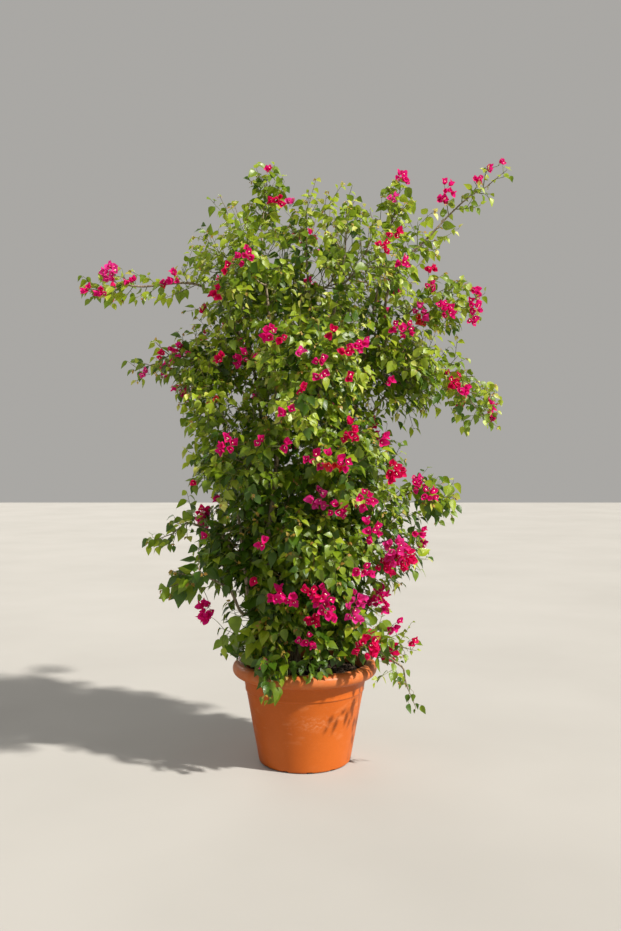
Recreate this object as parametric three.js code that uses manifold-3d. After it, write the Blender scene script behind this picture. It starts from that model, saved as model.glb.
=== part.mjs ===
// A flowering bougainvillea bush in a terracotta-coloured pot, in millimetres, +Z up.
// The origin is the middle of the pot's flat underside, and the front of the bush faces -Y.
// Several stems fork from one short trunk. Each mass of foliage grows on its own stem, inside
// a space of its own: an ellipsoid that is cut flat where a neighbouring mass begins.

import * as THREE from 'three';
import { mergeVertices } from 'three/addons/utils/BufferGeometryUtils.js';
import Module from 'manifold-3d';

const wasm = await Module();
wasm.setup();

// Pot
const POT_SEGMENTS = 36;
const POT_HEIGHT = 288;
const RIM_RADIUS = 210;
const RIM_HEIGHT = 38;
const NECK_RADIUS = 178;
const COLLAR_HEIGHT = 27;
const COLLAR_STEP = 1.5;
const FOOT_RADIUS = 133;
const FOOT_ROUNDING = 6;
const POT_WALL = 5;
const FLOOR_THICKNESS = 7;
const MOUTH_BEVEL = 4;
const NOTCHES = 12;
const NOTCH = { width: 16, depth: 14, height: 4.5, turn: 6 };

// Soil, and the clearance between pieces that touch
const CLEARANCE = 0.3;
const SOIL_LEVEL = 256;
const SOIL_WALL_GAP = 0.4;
const GROUND = SOIL_LEVEL + CLEARANCE;
const SPARE = 1;

// Trunk: a short foot with spreading roots, cut flat at the soil
const TRUNK = { place: [-30, -15], top: [-26, -18, 336], footRadius: 19, topRadius: 14, sides: 8 };
const ROOTS = { count: 5, turn: 23, spread: 46, rise: 44, radius: 11, tipRadius: 5, sides: 4 };
const FORK = { length: 62, tilt: 38, footRadius: 11, radius: 9.5, sides: 6 };
const BELOW_SOIL = { depth: 20, width: 400 };
const ROOT_DIP = 12;

// Stems: each runs from its fork, or from the soil, through two places to its top
const STEM_RADIUS = { foot: 8.5, top: 3.2 };
const STEM_RINGS = 9;
const STRAIGHT_START = 40;
const STEMS = [
  { name: 'stem_front_left', azimuth: 232, via: [[-104, -88, 560], [-74, -96, 960]], top: [-122, -36, 1476] },
  { name: 'stem_front_right', azimuth: 304, via: [[54, -78, 580], [34, -104, 980]], top: [112, -52, 1440] },
  { name: 'stem_right', azimuth: 12, via: [[64, -2, 560], [134, 14, 960]], top: [222, -8, 1420] },
  { name: 'stem_back', azimuth: 84, via: [[-6, 84, 600], [34, 90, 1000]], top: [6, 46, 1450] },
  { name: 'stem_left', azimuth: 158, via: [[-126, 32, 580], [-128, 66, 960]], top: [-196, 32, 1400] },
];
const SIDE_STEM = {
  name: 'stem_side',
  foot: [-136, -64],
  via: [[-160, -98, 500], [-190, -88, 740]],
  top: [-236, -52, 1010],
  radius: 6.5,
  flare: 12,
  flareFade: 40,
};

// Boughs: bare limbs that carry the outer sprays, each from a level on its stem to its tip
const BOUGH = { footRadius: 4.6, tipRadius: 3, sides: 5, rings: 6, squareStart: 14 };
const BOUGHS = [
  { name: 'bough_far_right', stem: 'stem_right', level: 1210, via: [262, 6, 1420], tip: [352, 0, 1512] },
  { name: 'bough_right_high', stem: 'stem_right', level: 1130, via: [246, -34, 1230], tip: [306, -44, 1300] },
  { name: 'bough_right_arch', stem: 'stem_right', level: 960, via: [270, 4, 1092], tip: [416, 0, 1126] },
  { name: 'bough_right_middle', stem: 'stem_right', level: 640, via: [214, -16, 742], tip: [304, -16, 776] },
  { name: 'bough_right_low', stem: 'stem_front_right', level: 420, via: [150, -132, 380], tip: [256, -122, 308] },
  { name: 'bough_far_left', stem: 'stem_left', level: 1240, via: [-300, 8, 1378], tip: [-478, 0, 1376] },
  { name: 'bough_left_high', stem: 'stem_left', level: 1050, via: [-262, 10, 1146], tip: [-352, -6, 1172] },
  { name: 'bough_left_middle', stem: 'stem_side', level: 570, via: [-230, -72, 650], tip: [-306, -52, 686] },
  { name: 'bough_left_low', stem: 'stem_side', level: 440, via: [-214, -86, 508], tip: [-282, -84, 546] },
  { name: 'bough_back_high', stem: 'stem_back', level: 1110, via: [46, 210, 1236], tip: [84, 348, 1300] },
  { name: 'bough_back_left', stem: 'stem_left', level: 680, via: [-160, 210, 806], tip: [-208, 330, 842] },
  { name: 'bough_front', stem: 'stem_front_left', level: 860, via: [-66, -220, 980], tip: [-34, -318, 1020] },
];

// The body of the bush, in tiers of four masses: the level of their tips and how far they
// reach from the axis to each side. Every second tier is turned by half a quarter.
const TIER_MASSES = 4;
const TIER_DROP = 70;
const TIERS = [
  { name: 'foot', level: 408, left: 262, right: 250, front: 250, back: 250, turn: 45, girth: 142 },
  { name: 'low', level: 662, left: 305, right: 350, front: 300, back: 300, turn: 0, girth: 176 },
  { name: 'middle', level: 900, left: 360, right: 330, front: 330, back: 330, turn: 45, girth: 176 },
  { name: 'high', level: 1165, left: 395, right: 420, front: 340, back: 340, turn: 0, girth: 186 },
  { name: 'top', level: 1440, left: 350, right: 330, front: 310, back: 310, turn: 45, girth: 172 },
];
const SIDE_NAMES = ['right', 'back', 'left', 'front'];
const TURNED_NAMES = ['back_right', 'back_left', 'front_left', 'front_right'];

// The sprays that stand out of the body: on a bough's tip, a stem's top, or a level on a stem.
// A flowering one has a bloom at the end of every twig.
const SPRAYS = [
  { name: 'spray_top_left', limb: 'stem_front_left', tip: [-107, 0, 1728], girth: 74 },
  { name: 'spray_top_centre', limb: 'stem_back', tip: [4, 22, 1634], girth: 84 },
  { name: 'spray_top_middle', limb: 'stem_front_right', tip: [120, -30, 1612], girth: 84 },
  { name: 'spray_top_right', limb: 'stem_right', tip: [284, 0, 1692], girth: 62, flowering: true },
  { name: 'spray_far_right', limb: 'bough_far_right', tip: [606, 0, 1730], girth: 58 },
  { name: 'spray_right_high', limb: 'bough_right_high', tip: [508, -10, 1336], girth: 88, flowering: true },
  { name: 'spray_right_arch', limb: 'bough_right_arch', tip: [544, 0, 962], girth: 84 },
  { name: 'spray_right_middle', limb: 'bough_right_middle', tip: [442, -6, 736], girth: 72 },
  { name: 'spray_right_low', limb: 'bough_right_low', tip: [320, -104, 160], girth: 52 },
  { name: 'spray_right_foot', limb: 'stem_right', level: 372, tip: [345, -54, 322], girth: 56 },
  { name: 'spray_over_rim', limb: 'stem_front_left', level: 380, tip: [-108, -266, 238], girth: 50 },
  { name: 'spray_far_left', limb: 'bough_far_left', tip: [-650, 0, 1366], girth: 60, flowering: true },
  { name: 'spray_left_high', limb: 'bough_left_high', tip: [-515, 0, 1128], girth: 76 },
  { name: 'spray_left_middle', limb: 'bough_left_middle', tip: [-462, -50, 630], girth: 56 },
  { name: 'spray_left_low', limb: 'bough_left_low', tip: [-418, -84, 500], girth: 60 },
  { name: 'spray_back_high', limb: 'bough_back_high', tip: [150, 500, 1290], girth: 74 },
  { name: 'spray_back_left', limb: 'bough_back_left', tip: [-290, 462, 770], girth: 70 },
  { name: 'spray_front', limb: 'bough_front', tip: [14, -436, 968], girth: 70 },
];

// Growth of a mass: its stem, its twigs, and the leaves and blooms on them
const BODY_GROWTH = { leaf: 146, sprig: 130, twigs: 6, leaves: 13, open: false, flowering: false };
const SPRAY_GROWTH = { leaf: 92, sprig: 66, twigs: 3, leaves: 5, open: true, flowering: false };
const MASS_STEM = {
  footRadius: 3.2,
  tipRadius: 1.8,
  sides: 3,
  rings: 3,
  leastShare: 0.5,
  squareShare: 0.25,
  endShare: 0.3,
  arch: 0.1,
};
const TWIG = {
  radius: 2.4,
  sides: 3,
  first: 0.25,
  last: 0.9,
  leanLow: 75,
  leanHigh: 45,
  leanSpread: 12,
  longest: 220,
  shortest: 24,
  room: 28,
  leastFill: 0.85,
};
const GOLDEN_ANGLE = THREE.MathUtils.degToRad(137.5);
const GOLDEN_SHARE = 0.618;
const LEAF = { width: 0.7, widest: 0.36, thickness: 2.4, fold: 0.08, droop: 0.12 };
const LEAF_ALONG = { first: 0.3, last: 0.9 };
const LEAF_AIM = { leastSide: 0.3, down: 0.9, up: 0.6, lift: 0.3, tilt: 0.5, turn: 0.8 };
const LEAF_SIZES = { least: 0.85, most: 1.05 };
const LEAF_TRIES = 12;
const BLOOM = { radius: 40, notch: 0.4, cup: 1, core: 0.4 };
const BLOOM_STALK = { first: 0.2, tipRadius: 0.8 };
const SPRIG = { notch: 0.36, cup: 0.14, core: 0.05 };
const STAR = { sides: 6, bands: 2, notchRise: 0.55 };
const BLOOM_FACING = new THREE.Vector3(0, -0.8, 0.2);
const BACK_BLOOM_CHANCE = 0.4;
const BACK_FROM = 60;
const FRONT_SEARCH = { from: -480, to: 120, step: 10 };
const LEAST_SCALE = 0.55;
const SCALE_STEP = 0.1;
const NEIGHBOUR_GAP = 1;
const TIP_ROOM = 14;
const SEAT_TRIES = 12;
const SEAT_STEP = 9;
const BLADE_ROOT = 0.96;

// Numbers that only the working out needs
const HALVINGS = 20;
const RAY_START = 60;
const CURVE_POINTS = 40;
const SPARE_RADIUS = 0.5;
const MERGE_DISTANCE = 1e-4;
const SLIVER = 0.02;

const MATERIALS = {
  pot: new THREE.MeshStandardMaterial({ color: 0xd9702f, roughness: 0.55, metalness: 0 }),
  soil: new THREE.MeshStandardMaterial({ color: 0x3a2a1e, roughness: 0.95, metalness: 0 }),
  bark: new THREE.MeshStandardMaterial({ color: 0x6e5a44, roughness: 0.85, metalness: 0 }),
  foliage: new THREE.MeshStandardMaterial({ color: 0x4f7a1e, roughness: 0.5, metalness: 0 }),
  blossom: new THREE.MeshStandardMaterial({ color: 0xd2145a, roughness: 0.6, metalness: 0 }),
};

// Blossom that shows from the front: each bloom's place across (x) and up (z)
const FRONT_BLOOMS = [
  [-107, 1706], [-82, 1624], [-170, 1468], [-229, 1420], [-262, 1352],
  [262, 1630], [282, 1672], [240, 1510], [281, 1444],
  [410, 1640], [500, 1690], [566, 1712],
  [-502, 1390], [-562, 1396], [-612, 1368], [-380, 1396],
  [410, 1306], [365, 1378], [330, 1290], [275, 1250], [490, 1350], [470, 1296],
  [-96, 1236], [-18, 1178], [49, 1134], [-13, 1063], [-215, 1164], [-371, 1190], [-450, 1140],
  [160, 1204], [126, 1114], [239, 1097], [435, 1102],
  [-268, 1035], [-49, 1003], [-230, 914], [-134, 921], [-40, 913], [23, 866], [102, 862], [134, 955],
  [221, 931], [260, 837], [340, 790], [336, 658], [179, 758], [41, 763], [98, 724], [196, 663],
  [-310, 770], [-285, 645], [-122, 631],
  [265, 598], [169, 550], [-147, 535], [-282, 430], [-62, 466], [30, 476], [45, 420], [153, 459], [216, 461],
  [160, 385], [2, 350], [-112, 306], [246, 310], [300, 345],
];

// Small helpers
const vector = (values) => new THREE.Vector3(...values);
const mix = THREE.MathUtils.lerp;
const UP = vector([0, 0, 1]);

// Numbers between 0 and 1 that are the same on every run.
function seeded(seed) {
  let state = seed * 7919 + 104729;
  const next = () => {
    state = (state * 1664525 + 1013904223) % 4294967296;
    return state / 4294967296;
  };
  next();
  next();
  return next;
}

// A closed solid from a geometry: shared corners merged and collapsed faces dropped.
function solidOf(geometry) {
  geometry.deleteAttribute('normal');
  geometry.deleteAttribute('uv');
  const merged = mergeVertices(geometry, MERGE_DISTANCE);
  const corners = merged.index.array;
  const faces = [];
  for (let i = 0; i < corners.length; i += 3) {
    const [a, b, c] = corners.slice(i, i + 3);
    if (a !== b && b !== c && c !== a) faces.push(a, b, c);
  }
  return new wasm.Manifold(new wasm.Mesh({
    numProp: 3,
    vertProperties: new Float32Array(merged.attributes.position.array),
    triVerts: new Uint32Array(faces),
  }));
}

// The geometry of a solid.
function geometryOf(solid) {
  const mesh = solid.getMesh();
  const geometry = new THREE.BufferGeometry();
  geometry.setAttribute('position', new THREE.BufferAttribute(mesh.vertProperties, 3));
  geometry.setIndex(new THREE.BufferAttribute(mesh.triVerts, 1));
  return geometry;
}

// Pieces fused into one body, without scraps or sealed hollows.
function fused(pieces) {
  const bodies = wasm.Manifold.union(pieces).simplify(SLIVER).decompose();
  bodies.sort((a, b) => b.volume() - a.volume());
  return bodies[0];
}

// A named mesh for the model.
function meshOf(name, solid, material) {
  const mesh = new THREE.Mesh(geometryOf(solid), material.clone());
  mesh.name = name;
  return mesh;
}

// A round limb along a curve, closed at both ends; radiusAt gives its radius from 0 to 1 along it.
function limbGeometry(curve, radiusAt, sides, rings) {
  const geometry = new THREE.CylinderGeometry(1, 1, 1, sides, rings);
  const position = geometry.attributes.position;
  const chord = curve.getPoint(1).sub(curve.getPoint(0));
  const reference = Math.abs(chord.z) > Math.hypot(chord.x, chord.y) ? vector([1, 0, 0]) : UP;
  for (let i = 0; i < position.count; i += 1) {
    const along = position.getY(i) + 0.5;
    const tangent = curve.getTangent(along);
    const side = reference.clone().cross(tangent).normalize();
    const rise = side.clone().cross(tangent);
    const point = curve.getPoint(along)
      .addScaledVector(side, position.getX(i) * radiusAt(along))
      .addScaledVector(rise, position.getZ(i) * radiusAt(along));
    position.setXYZ(i, point.x, point.y, point.z);
  }
  return geometry;
}

const taper = (start, end) => (along) => mix(start, end, along);

// A limb as the rest of the model needs it: its curve, its solid, and a thicker solid that
// foliage has to stay out of.
function makeLimb(name, curve, radiusAt, sides, rings) {
  const spare = (along) => radiusAt(along) + SPARE_RADIUS;
  return {
    name,
    curve,
    solid: solidOf(limbGeometry(curve, radiusAt, sides, rings)),
    guard: guardOf(solidOf(limbGeometry(curve, spare, sides, rings))),
  };
}

// A solid to stay out of, with its box for a quick first test.
function guardOf(solid) {
  const { min, max } = solid.boundingBox();
  return { solid, box: new THREE.Box3(vector(min), vector(max)) };
}

function touches(piece, guards) {
  return guards.some((guard) => (
    guard.box.intersectsBox(piece.box) && !guard.solid.intersect(piece.solid).isEmpty()
  ));
}

// Where a limb that grows from another one starts: on the flat facet that faces the target,
// the clearance off it, and square to it.
function seatOn(limb, level, target) {
  let low = 0;
  let high = 1;
  for (let halving = 0; halving < HALVINGS; halving += 1) {
    const middle = (low + high) / 2;
    if (limb.curve.getPoint(middle).z < level) low = middle;
    else high = middle;
  }
  const axisPoint = limb.curve.getPoint(low);
  const outward = target.clone().sub(axisPoint).setZ(0).normalize();
  const outside = axisPoint.clone().addScaledVector(outward, RAY_START);
  const ray = new THREE.Raycaster(outside, outward.clone().negate());
  const [hit] = ray.intersectObject(new THREE.Mesh(geometryOf(limb.solid)));
  return {
    point: hit.point.clone().addScaledVector(hit.face.normal, CLEARANCE),
    direction: hit.face.normal.clone(),
  };
}

// Where a limb starts on another one's flat tip.
function seatOnTip(limb) {
  const direction = limb.curve.getTangent(1);
  return { point: limb.curve.getPoint(1).addScaledVector(direction, CLEARANCE), direction };
}

// Pot: a tapered wall with a floor, a collar and a rolled rim
function potProfile() {
  const wallTop = POT_HEIGHT - RIM_HEIGHT;
  const rollRadius = RIM_HEIGHT / 2;
  const rollCentre = [RIM_RADIUS - rollRadius, POT_HEIGHT - rollRadius];
  const slope = (NECK_RADIUS - FOOT_RADIUS) / wallTop;
  const wallAt = (z) => FOOT_RADIUS + slope * z;
  const collarFoot = wallTop - COLLAR_HEIGHT;
  const points = [
    [0, 0],
    [FOOT_RADIUS - FOOT_ROUNDING, 0],
    [FOOT_RADIUS - FOOT_ROUNDING / 4, FOOT_ROUNDING / 3],
    [wallAt(FOOT_ROUNDING), FOOT_ROUNDING],
    [wallAt(collarFoot), collarFoot],
    [wallAt(collarFoot) + COLLAR_STEP, collarFoot + COLLAR_STEP],
    [wallAt(wallTop) + COLLAR_STEP, wallTop],
  ];
  for (let turn = -90; turn <= 90; turn += 30) {
    const angle = THREE.MathUtils.degToRad(turn);
    points.push([rollCentre[0] + rollRadius * Math.cos(angle), rollCentre[1] + rollRadius * Math.sin(angle)]);
  }
  points.push([innerRadius(POT_HEIGHT) + MOUTH_BEVEL / 2, POT_HEIGHT]);
  points.push([innerRadius(POT_HEIGHT - MOUTH_BEVEL), POT_HEIGHT - MOUTH_BEVEL]);
  points.push([innerRadius(FLOOR_THICKNESS), FLOOR_THICKNESS]);
  points.push([0, FLOOR_THICKNESS]);
  return points;
}

function innerRadius(z) {
  const slope = (NECK_RADIUS - FOOT_RADIUS) / (POT_HEIGHT - RIM_HEIGHT);
  return FOOT_RADIUS - POT_WALL + slope * z;
}

function lathed(profile) {
  const geometry = new THREE.LatheGeometry(profile.map(([r, z]) => new THREE.Vector2(r, z)), POT_SEGMENTS);
  return solidOf(geometry.rotateX(Math.PI / 2));
}

function makePot() {
  let pot = lathed(potProfile());
  for (let i = 0; i < NOTCHES; i += 1) {
    const notch = new THREE.BoxGeometry(NOTCH.width, NOTCH.depth * 2, NOTCH.height * 2);
    notch.translate(0, -FOOT_RADIUS, 0);
    notch.rotateZ(THREE.MathUtils.degToRad(NOTCH.turn) + (i * 2 * Math.PI) / NOTCHES);
    pot = pot.subtract(solidOf(notch));
  }
  return pot;
}

function makeSoil() {
  const foot = FLOOR_THICKNESS + CLEARANCE;
  return lathed([
    [0, foot],
    [innerRadius(foot) - SOIL_WALL_GAP, foot],
    [innerRadius(SOIL_LEVEL) - SOIL_WALL_GAP, SOIL_LEVEL],
    [0, SOIL_LEVEL],
  ]);
}

// The space that pot and soil fill, with a little to spare, for foliage to stay out of.
function potGuard() {
  const rimFoot = POT_HEIGHT - RIM_HEIGHT;
  return guardOf(lathed([
    [0, -SPARE],
    [FOOT_RADIUS + SPARE, -SPARE],
    [NECK_RADIUS + COLLAR_STEP + SPARE, rimFoot - SPARE],
    [RIM_RADIUS + SPARE, rimFoot - SPARE],
    [RIM_RADIUS + SPARE, POT_HEIGHT + SPARE],
    [innerRadius(POT_HEIGHT) - SPARE, POT_HEIGHT + SPARE],
    [innerRadius(SOIL_LEVEL) - SPARE, SOIL_LEVEL + SPARE],
    [0, SOIL_LEVEL + SPARE],
  ]));
}

// Trunk: the foot, its spreading roots and the forks of the stems, cut flat at the soil
function forkOf(stem) {
  const azimuth = THREE.MathUtils.degToRad(stem.azimuth);
  const tilt = THREE.MathUtils.degToRad(FORK.tilt);
  const flat = vector([Math.cos(azimuth), Math.sin(azimuth), 0]);
  const direction = UP.clone().multiplyScalar(Math.cos(tilt)).addScaledVector(flat, Math.sin(tilt));
  const start = vector(TRUNK.top).addScaledVector(UP, -TRUNK.topRadius);
  return new THREE.LineCurve3(start, start.clone().addScaledVector(direction, FORK.length));
}

function makeTrunk() {
  const foot = vector([...TRUNK.place, GROUND - BELOW_SOIL.depth]);
  const body = new THREE.LineCurve3(foot, vector(TRUNK.top));
  const pieces = [
    solidOf(limbGeometry(body, taper(TRUNK.footRadius, TRUNK.topRadius), TRUNK.sides, 1)),
  ];
  for (let i = 0; i < ROOTS.count; i += 1) {
    const angle = THREE.MathUtils.degToRad(ROOTS.turn + (i * 360) / ROOTS.count);
    const top = vector([...TRUNK.place, GROUND + ROOTS.rise]);
    const end = vector([...TRUNK.place, GROUND - ROOT_DIP]);
    end.add(vector([Math.cos(angle) * ROOTS.spread, Math.sin(angle) * ROOTS.spread, 0]));
    const root = new THREE.LineCurve3(top, end);
    pieces.push(solidOf(limbGeometry(root, taper(ROOTS.radius, ROOTS.tipRadius), ROOTS.sides, 1)));
  }
  for (const stem of STEMS) {
    pieces.push(solidOf(limbGeometry(forkOf(stem), taper(FORK.footRadius, FORK.radius), FORK.sides, 1)));
  }
  const below = new THREE.BoxGeometry(BELOW_SOIL.width, BELOW_SOIL.width, BELOW_SOIL.width);
  below.translate(0, 0, GROUND - BELOW_SOIL.width / 2);
  return fused([wasm.Manifold.union(pieces).subtract(solidOf(below))]);
}

// Stems
function makeStem(stem) {
  const fork = forkOf(stem);
  const direction = fork.getTangent(1);
  const start = fork.getPoint(1).addScaledVector(direction, CLEARANCE);
  const curve = new THREE.CatmullRomCurve3([
    start,
    start.clone().addScaledVector(direction, STRAIGHT_START),
    ...stem.via.map(vector),
    vector(stem.top),
  ]);
  return makeLimb(stem.name, curve, taper(STEM_RADIUS.foot, STEM_RADIUS.top), FORK.sides, STEM_RINGS);
}

function makeSideStem() {
  const { name, foot, via, top, radius, flare, flareFade } = SIDE_STEM;
  const curve = new THREE.CatmullRomCurve3([
    vector([...foot, GROUND]),
    vector([...foot, GROUND + STRAIGHT_START]),
    ...via.map(vector),
    vector(top),
  ]);
  const flareAt = (along) => (flare - radius) * Math.exp(-along * flareFade);
  const radiusAt = (along) => mix(radius, STEM_RADIUS.top, along) + flareAt(along);
  return makeLimb(name, curve, radiusAt, FORK.sides, STEM_RINGS);
}

// A curve that leaves its seat square to it, passes near a place and ends at another.
function limbCurve(seat, via, tip) {
  const square = seat.point.clone().addScaledVector(seat.direction, BOUGH.squareStart);
  return new THREE.CatmullRomCurve3([seat.point, square, via, tip]);
}

function makeBough(bough, limbs) {
  const via = vector(bough.via);
  const seat = seatOn(limbs.get(bough.stem), bough.level, via);
  const curve = limbCurve(seat, via, vector(bough.tip));
  return makeLimb(bough.name, curve, taper(BOUGH.footRadius, BOUGH.tipRadius), BOUGH.sides, BOUGH.rings);
}

// The space that a mass keeps to: an ellipsoid from its root to its tip, with flat cuts.
function makeSpace(root, tip, girth) {
  const axis = tip.clone().sub(root);
  const halfLength = axis.length() / 2;
  return { centre: root.clone().lerp(tip, 0.5), axis: axis.normalize(), halfLength, girth, cuts: [] };
}

// A vector as it is once the space's ellipsoid is squeezed into a ball of radius 1.
function squeezed(space, arrow) {
  const lengthwise = arrow.dot(space.axis);
  const across = arrow.clone().addScaledVector(space.axis, -lengthwise);
  return across.divideScalar(space.girth).addScaledVector(space.axis, lengthwise / space.halfLength);
}

function holds(space, point) {
  const inBall = squeezed(space, point.clone().sub(space.centre)).lengthSq() <= 1;
  return inBall && space.cuts.every((cut) => cut.normal.dot(point) <= cut.offset);
}

// How far the space reaches from a place in it, in a direction.
function reach(space, from, direction) {
  const place = squeezed(space, from.clone().sub(space.centre));
  const heading = squeezed(space, direction);
  const a = heading.lengthSq();
  const b = place.dot(heading);
  const c = place.lengthSq() - 1;
  if (c > 0) return 0;
  let distance = (Math.sqrt(b * b - a * c) - b) / a;
  for (const cut of space.cuts) {
    const closing = cut.normal.dot(direction);
    if (closing > 0) distance = Math.min(distance, (cut.offset - cut.normal.dot(from)) / closing);
  }
  return Math.max(distance, 0);
}

// How far the space's ellipsoid stands out of its centre, measured square to a plane.
function halfDepth(space, normal) {
  const lengthwise = normal.dot(space.axis);
  return Math.hypot(space.halfLength * lengthwise, space.girth * Math.sqrt(Math.max(0, 1 - lengthwise ** 2)));
}

// Parts two spaces that meet by one plane, nearer to the smaller one.
function partSpaces(one, other) {
  const normal = other.centre.clone().sub(one.centre);
  const distance = normal.length();
  normal.normalize();
  const depths = [halfDepth(one, normal), halfDepth(other, normal)];
  if (depths[0] + depths[1] < distance) return;
  const middle = one.centre.dot(normal) + (distance * depths[0]) / (depths[0] + depths[1]);
  one.cuts.push({ normal: normal.clone(), offset: middle - NEIGHBOUR_GAP / 2 });
  other.cuts.push({ normal: normal.clone().negate(), offset: -middle - NEIGHBOUR_GAP / 2 });
}

// A leaf blade along +X with its root at the origin: eight faces, folded up along its rib.
function leafGeometry(length) {
  const geometry = new THREE.OctahedronGeometry(1);
  const position = geometry.attributes.position;
  for (let i = 0; i < position.count; i += 1) {
    const [x, y, z] = [position.getX(i), position.getY(i), position.getZ(i)];
    const along = (x + 1) / 2 + (LEAF.widest - 0.5) * (1 - Math.abs(x));
    const width = (length * LEAF.width) / 2;
    const rise = Math.abs(y) * LEAF.fold * length - LEAF.droop * length * along ** 2;
    position.setXYZ(i, along * length, y * width, (z * LEAF.thickness) / 2 + rise);
  }
  return geometry;
}

// Three pointed blades round +X, from a root at the origin: twelve faces. It makes a sprig of
// leaves when it is flat, and a bloom of three bracts when it is a cup.
function starGeometry(radius, { notch, cup, core }) {
  const geometry = new THREE.SphereGeometry(1, STAR.sides, STAR.bands);
  const position = geometry.attributes.position;
  for (let i = 0; i < position.count; i += 1) {
    const [x, y, z] = [position.getX(i), position.getY(i), position.getZ(i)];
    const onRim = Math.hypot(x, z) > 0.5;
    const angle = Math.atan2(z, x);
    const lobe = (1 + Math.cos(3 * angle)) / 2;
    const spread = onRim ? mix(notch, 1, lobe) * radius : 0;
    const rise = onRim ? mix(STAR.notchRise, 1, lobe) * cup : Math.max(y, 0) * core;
    position.setXYZ(i, rise * radius, spread * Math.cos(angle), -spread * Math.sin(angle));
  }
  return geometry;
}

const sprigGeometry = (radius) => starGeometry(radius, SPRIG);
const bloomGeometry = (radius) => starGeometry(radius, BLOOM);

// Sets a geometry's +X along a direction and its +Z as near as it can be to a facing.
function aimed(geometry, root, direction, facing) {
  const side = facing.clone().cross(direction).normalize();
  const top = direction.clone().cross(side);
  return geometry.applyMatrix4(new THREE.Matrix4().makeBasis(direction, side, top).setPosition(root));
}

// About the way out of the bush, level, at a place on a mass; a spray has room on all sides.
function outwardOf(mass, point, random) {
  const outward = mass.open
    ? vector([0, random() < 0.5 ? -1 : 1, 0])
    : vector([point.x, point.y, 0]).normalize();
  return outward.applyAxisAngle(UP, LEAF_AIM.turn * mix(-1, 1, random()));
}

// A direction that leans away from another one, turned round it.
function leaned(direction, lean, turn) {
  const side = Math.abs(direction.z) > 0.9 ? vector([1, 0, 0]) : UP.clone();
  side.cross(direction).normalize();
  return direction.clone().applyAxisAngle(side, lean).applyAxisAngle(direction, turn).normalize();
}

// A mass before it grows: its stem, seated on its limb, and its space.
function sproutMass(plan, seat, index) {
  const { point, direction } = seat;
  const tip = vector(plan.tip);
  const span = tip.clone().sub(point);
  const length = span.length();
  const share = Math.max(MASS_STEM.leastShare, 1 - plan.leaf / length);
  const end = point.clone().addScaledVector(span, share);
  const curve = new THREE.CubicBezierCurve3(
    point,
    point.clone().addScaledVector(direction, length * MASS_STEM.squareShare),
    end.clone().addScaledVector(span, -MASS_STEM.endShare).addScaledVector(UP, length * MASS_STEM.arch),
    end,
  );
  const radiusAt = taper(MASS_STEM.footRadius, MASS_STEM.tipRadius);
  const limb = makeLimb(plan.name, curve, radiusAt, MASS_STEM.sides, MASS_STEM.rings);
  const spaceEnd = tip.clone().addScaledVector(span.normalize(), TIP_ROOM);
  return { ...plan, ...limb, index, space: makeSpace(point, spaceEnd, plan.girth) };
}

// Plans of the tiers' masses, each on the nearest stem.
function tierPlans(limbs) {
  const plans = [];
  for (const tier of TIERS) {
    for (let i = 0; i < TIER_MASSES; i += 1) {
      const angle = THREE.MathUtils.degToRad(tier.turn + (i * 360) / TIER_MASSES);
      const across = Math.cos(angle) * (Math.cos(angle) > 0 ? tier.right : tier.left);
      const deep = Math.sin(angle) * (Math.sin(angle) > 0 ? tier.back : tier.front);
      const side = tier.turn === 0 ? SIDE_NAMES[i] : TURNED_NAMES[i];
      const level = tier.level - TIER_DROP;
      plans.push({
        name: `${tier.name}_${side}`,
        limb: nearestStem(limbs, vector([across / 3, deep / 3, level])),
        level,
        tip: [across, deep, tier.level],
        girth: tier.girth,
        ...BODY_GROWTH,
      });
    }
  }
  return plans;
}

function nearestStem(limbs, place) {
  let nearest = null;
  for (const { name } of STEMS) {
    const { curve } = limbs.get(name);
    const distances = curve.getPoints(CURVE_POINTS).map((point) => point.distanceTo(place));
    const distance = Math.min(...distances);
    if (!nearest || distance < nearest.distance) nearest = { name, distance };
  }
  return nearest.name;
}

// Seats each mass on its limb; where its stem would touch another limb, it starts a little higher.
function sproutMasses(plans, limbs) {
  const masses = [];
  plans.forEach((plan, index) => {
    const limb = limbs.get(plan.limb);
    const others = [...limbs.values(), ...masses].filter((one) => one !== limb).map((one) => one.guard);
    for (let attempt = 0; attempt < SEAT_TRIES; attempt += 1) {
      const seat = plan.level === undefined
        ? seatOnTip(limb)
        : seatOn(limb, plan.level + attempt * SEAT_STEP, vector(plan.tip));
      const mass = sproutMass(plan, seat, index);
      if (!touches(mass.guard, others)) {
        masses.push(mass);
        return;
      }
    }
    throw new Error(`${plan.name} finds no clear seat`);
  });
  return masses;
}

// Adds a piece to a mass if it is clear of all limbs and of the mass's other pieces.
function addPiece(mass, solid, host) {
  const piece = guardOf(solid);
  const others = mass.pieces.filter((one) => one !== host);
  if (touches(piece, mass.guards) || touches(piece, others)) return null;
  mass.pieces.push(piece);
  return piece;
}

// Adds a leaf or bloom with its root in its host, smaller where the mass's space is tight.
function addBlade(mass, host, shape, size, { root, direction, facing }) {
  for (let scale = 1; scale >= LEAST_SCALE; scale -= SCALE_STEP) {
    const geometry = aimed(shape(size * scale), root, direction, facing);
    const { position } = geometry.attributes;
    let inside = true;
    for (let i = 0; i < position.count; i += 1) {
      inside &&= holds(mass.space, new THREE.Vector3().fromBufferAttribute(position, i));
    }
    if (inside && addPiece(mass, solidOf(geometry), host)) return true;
  }
  return false;
}

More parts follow.
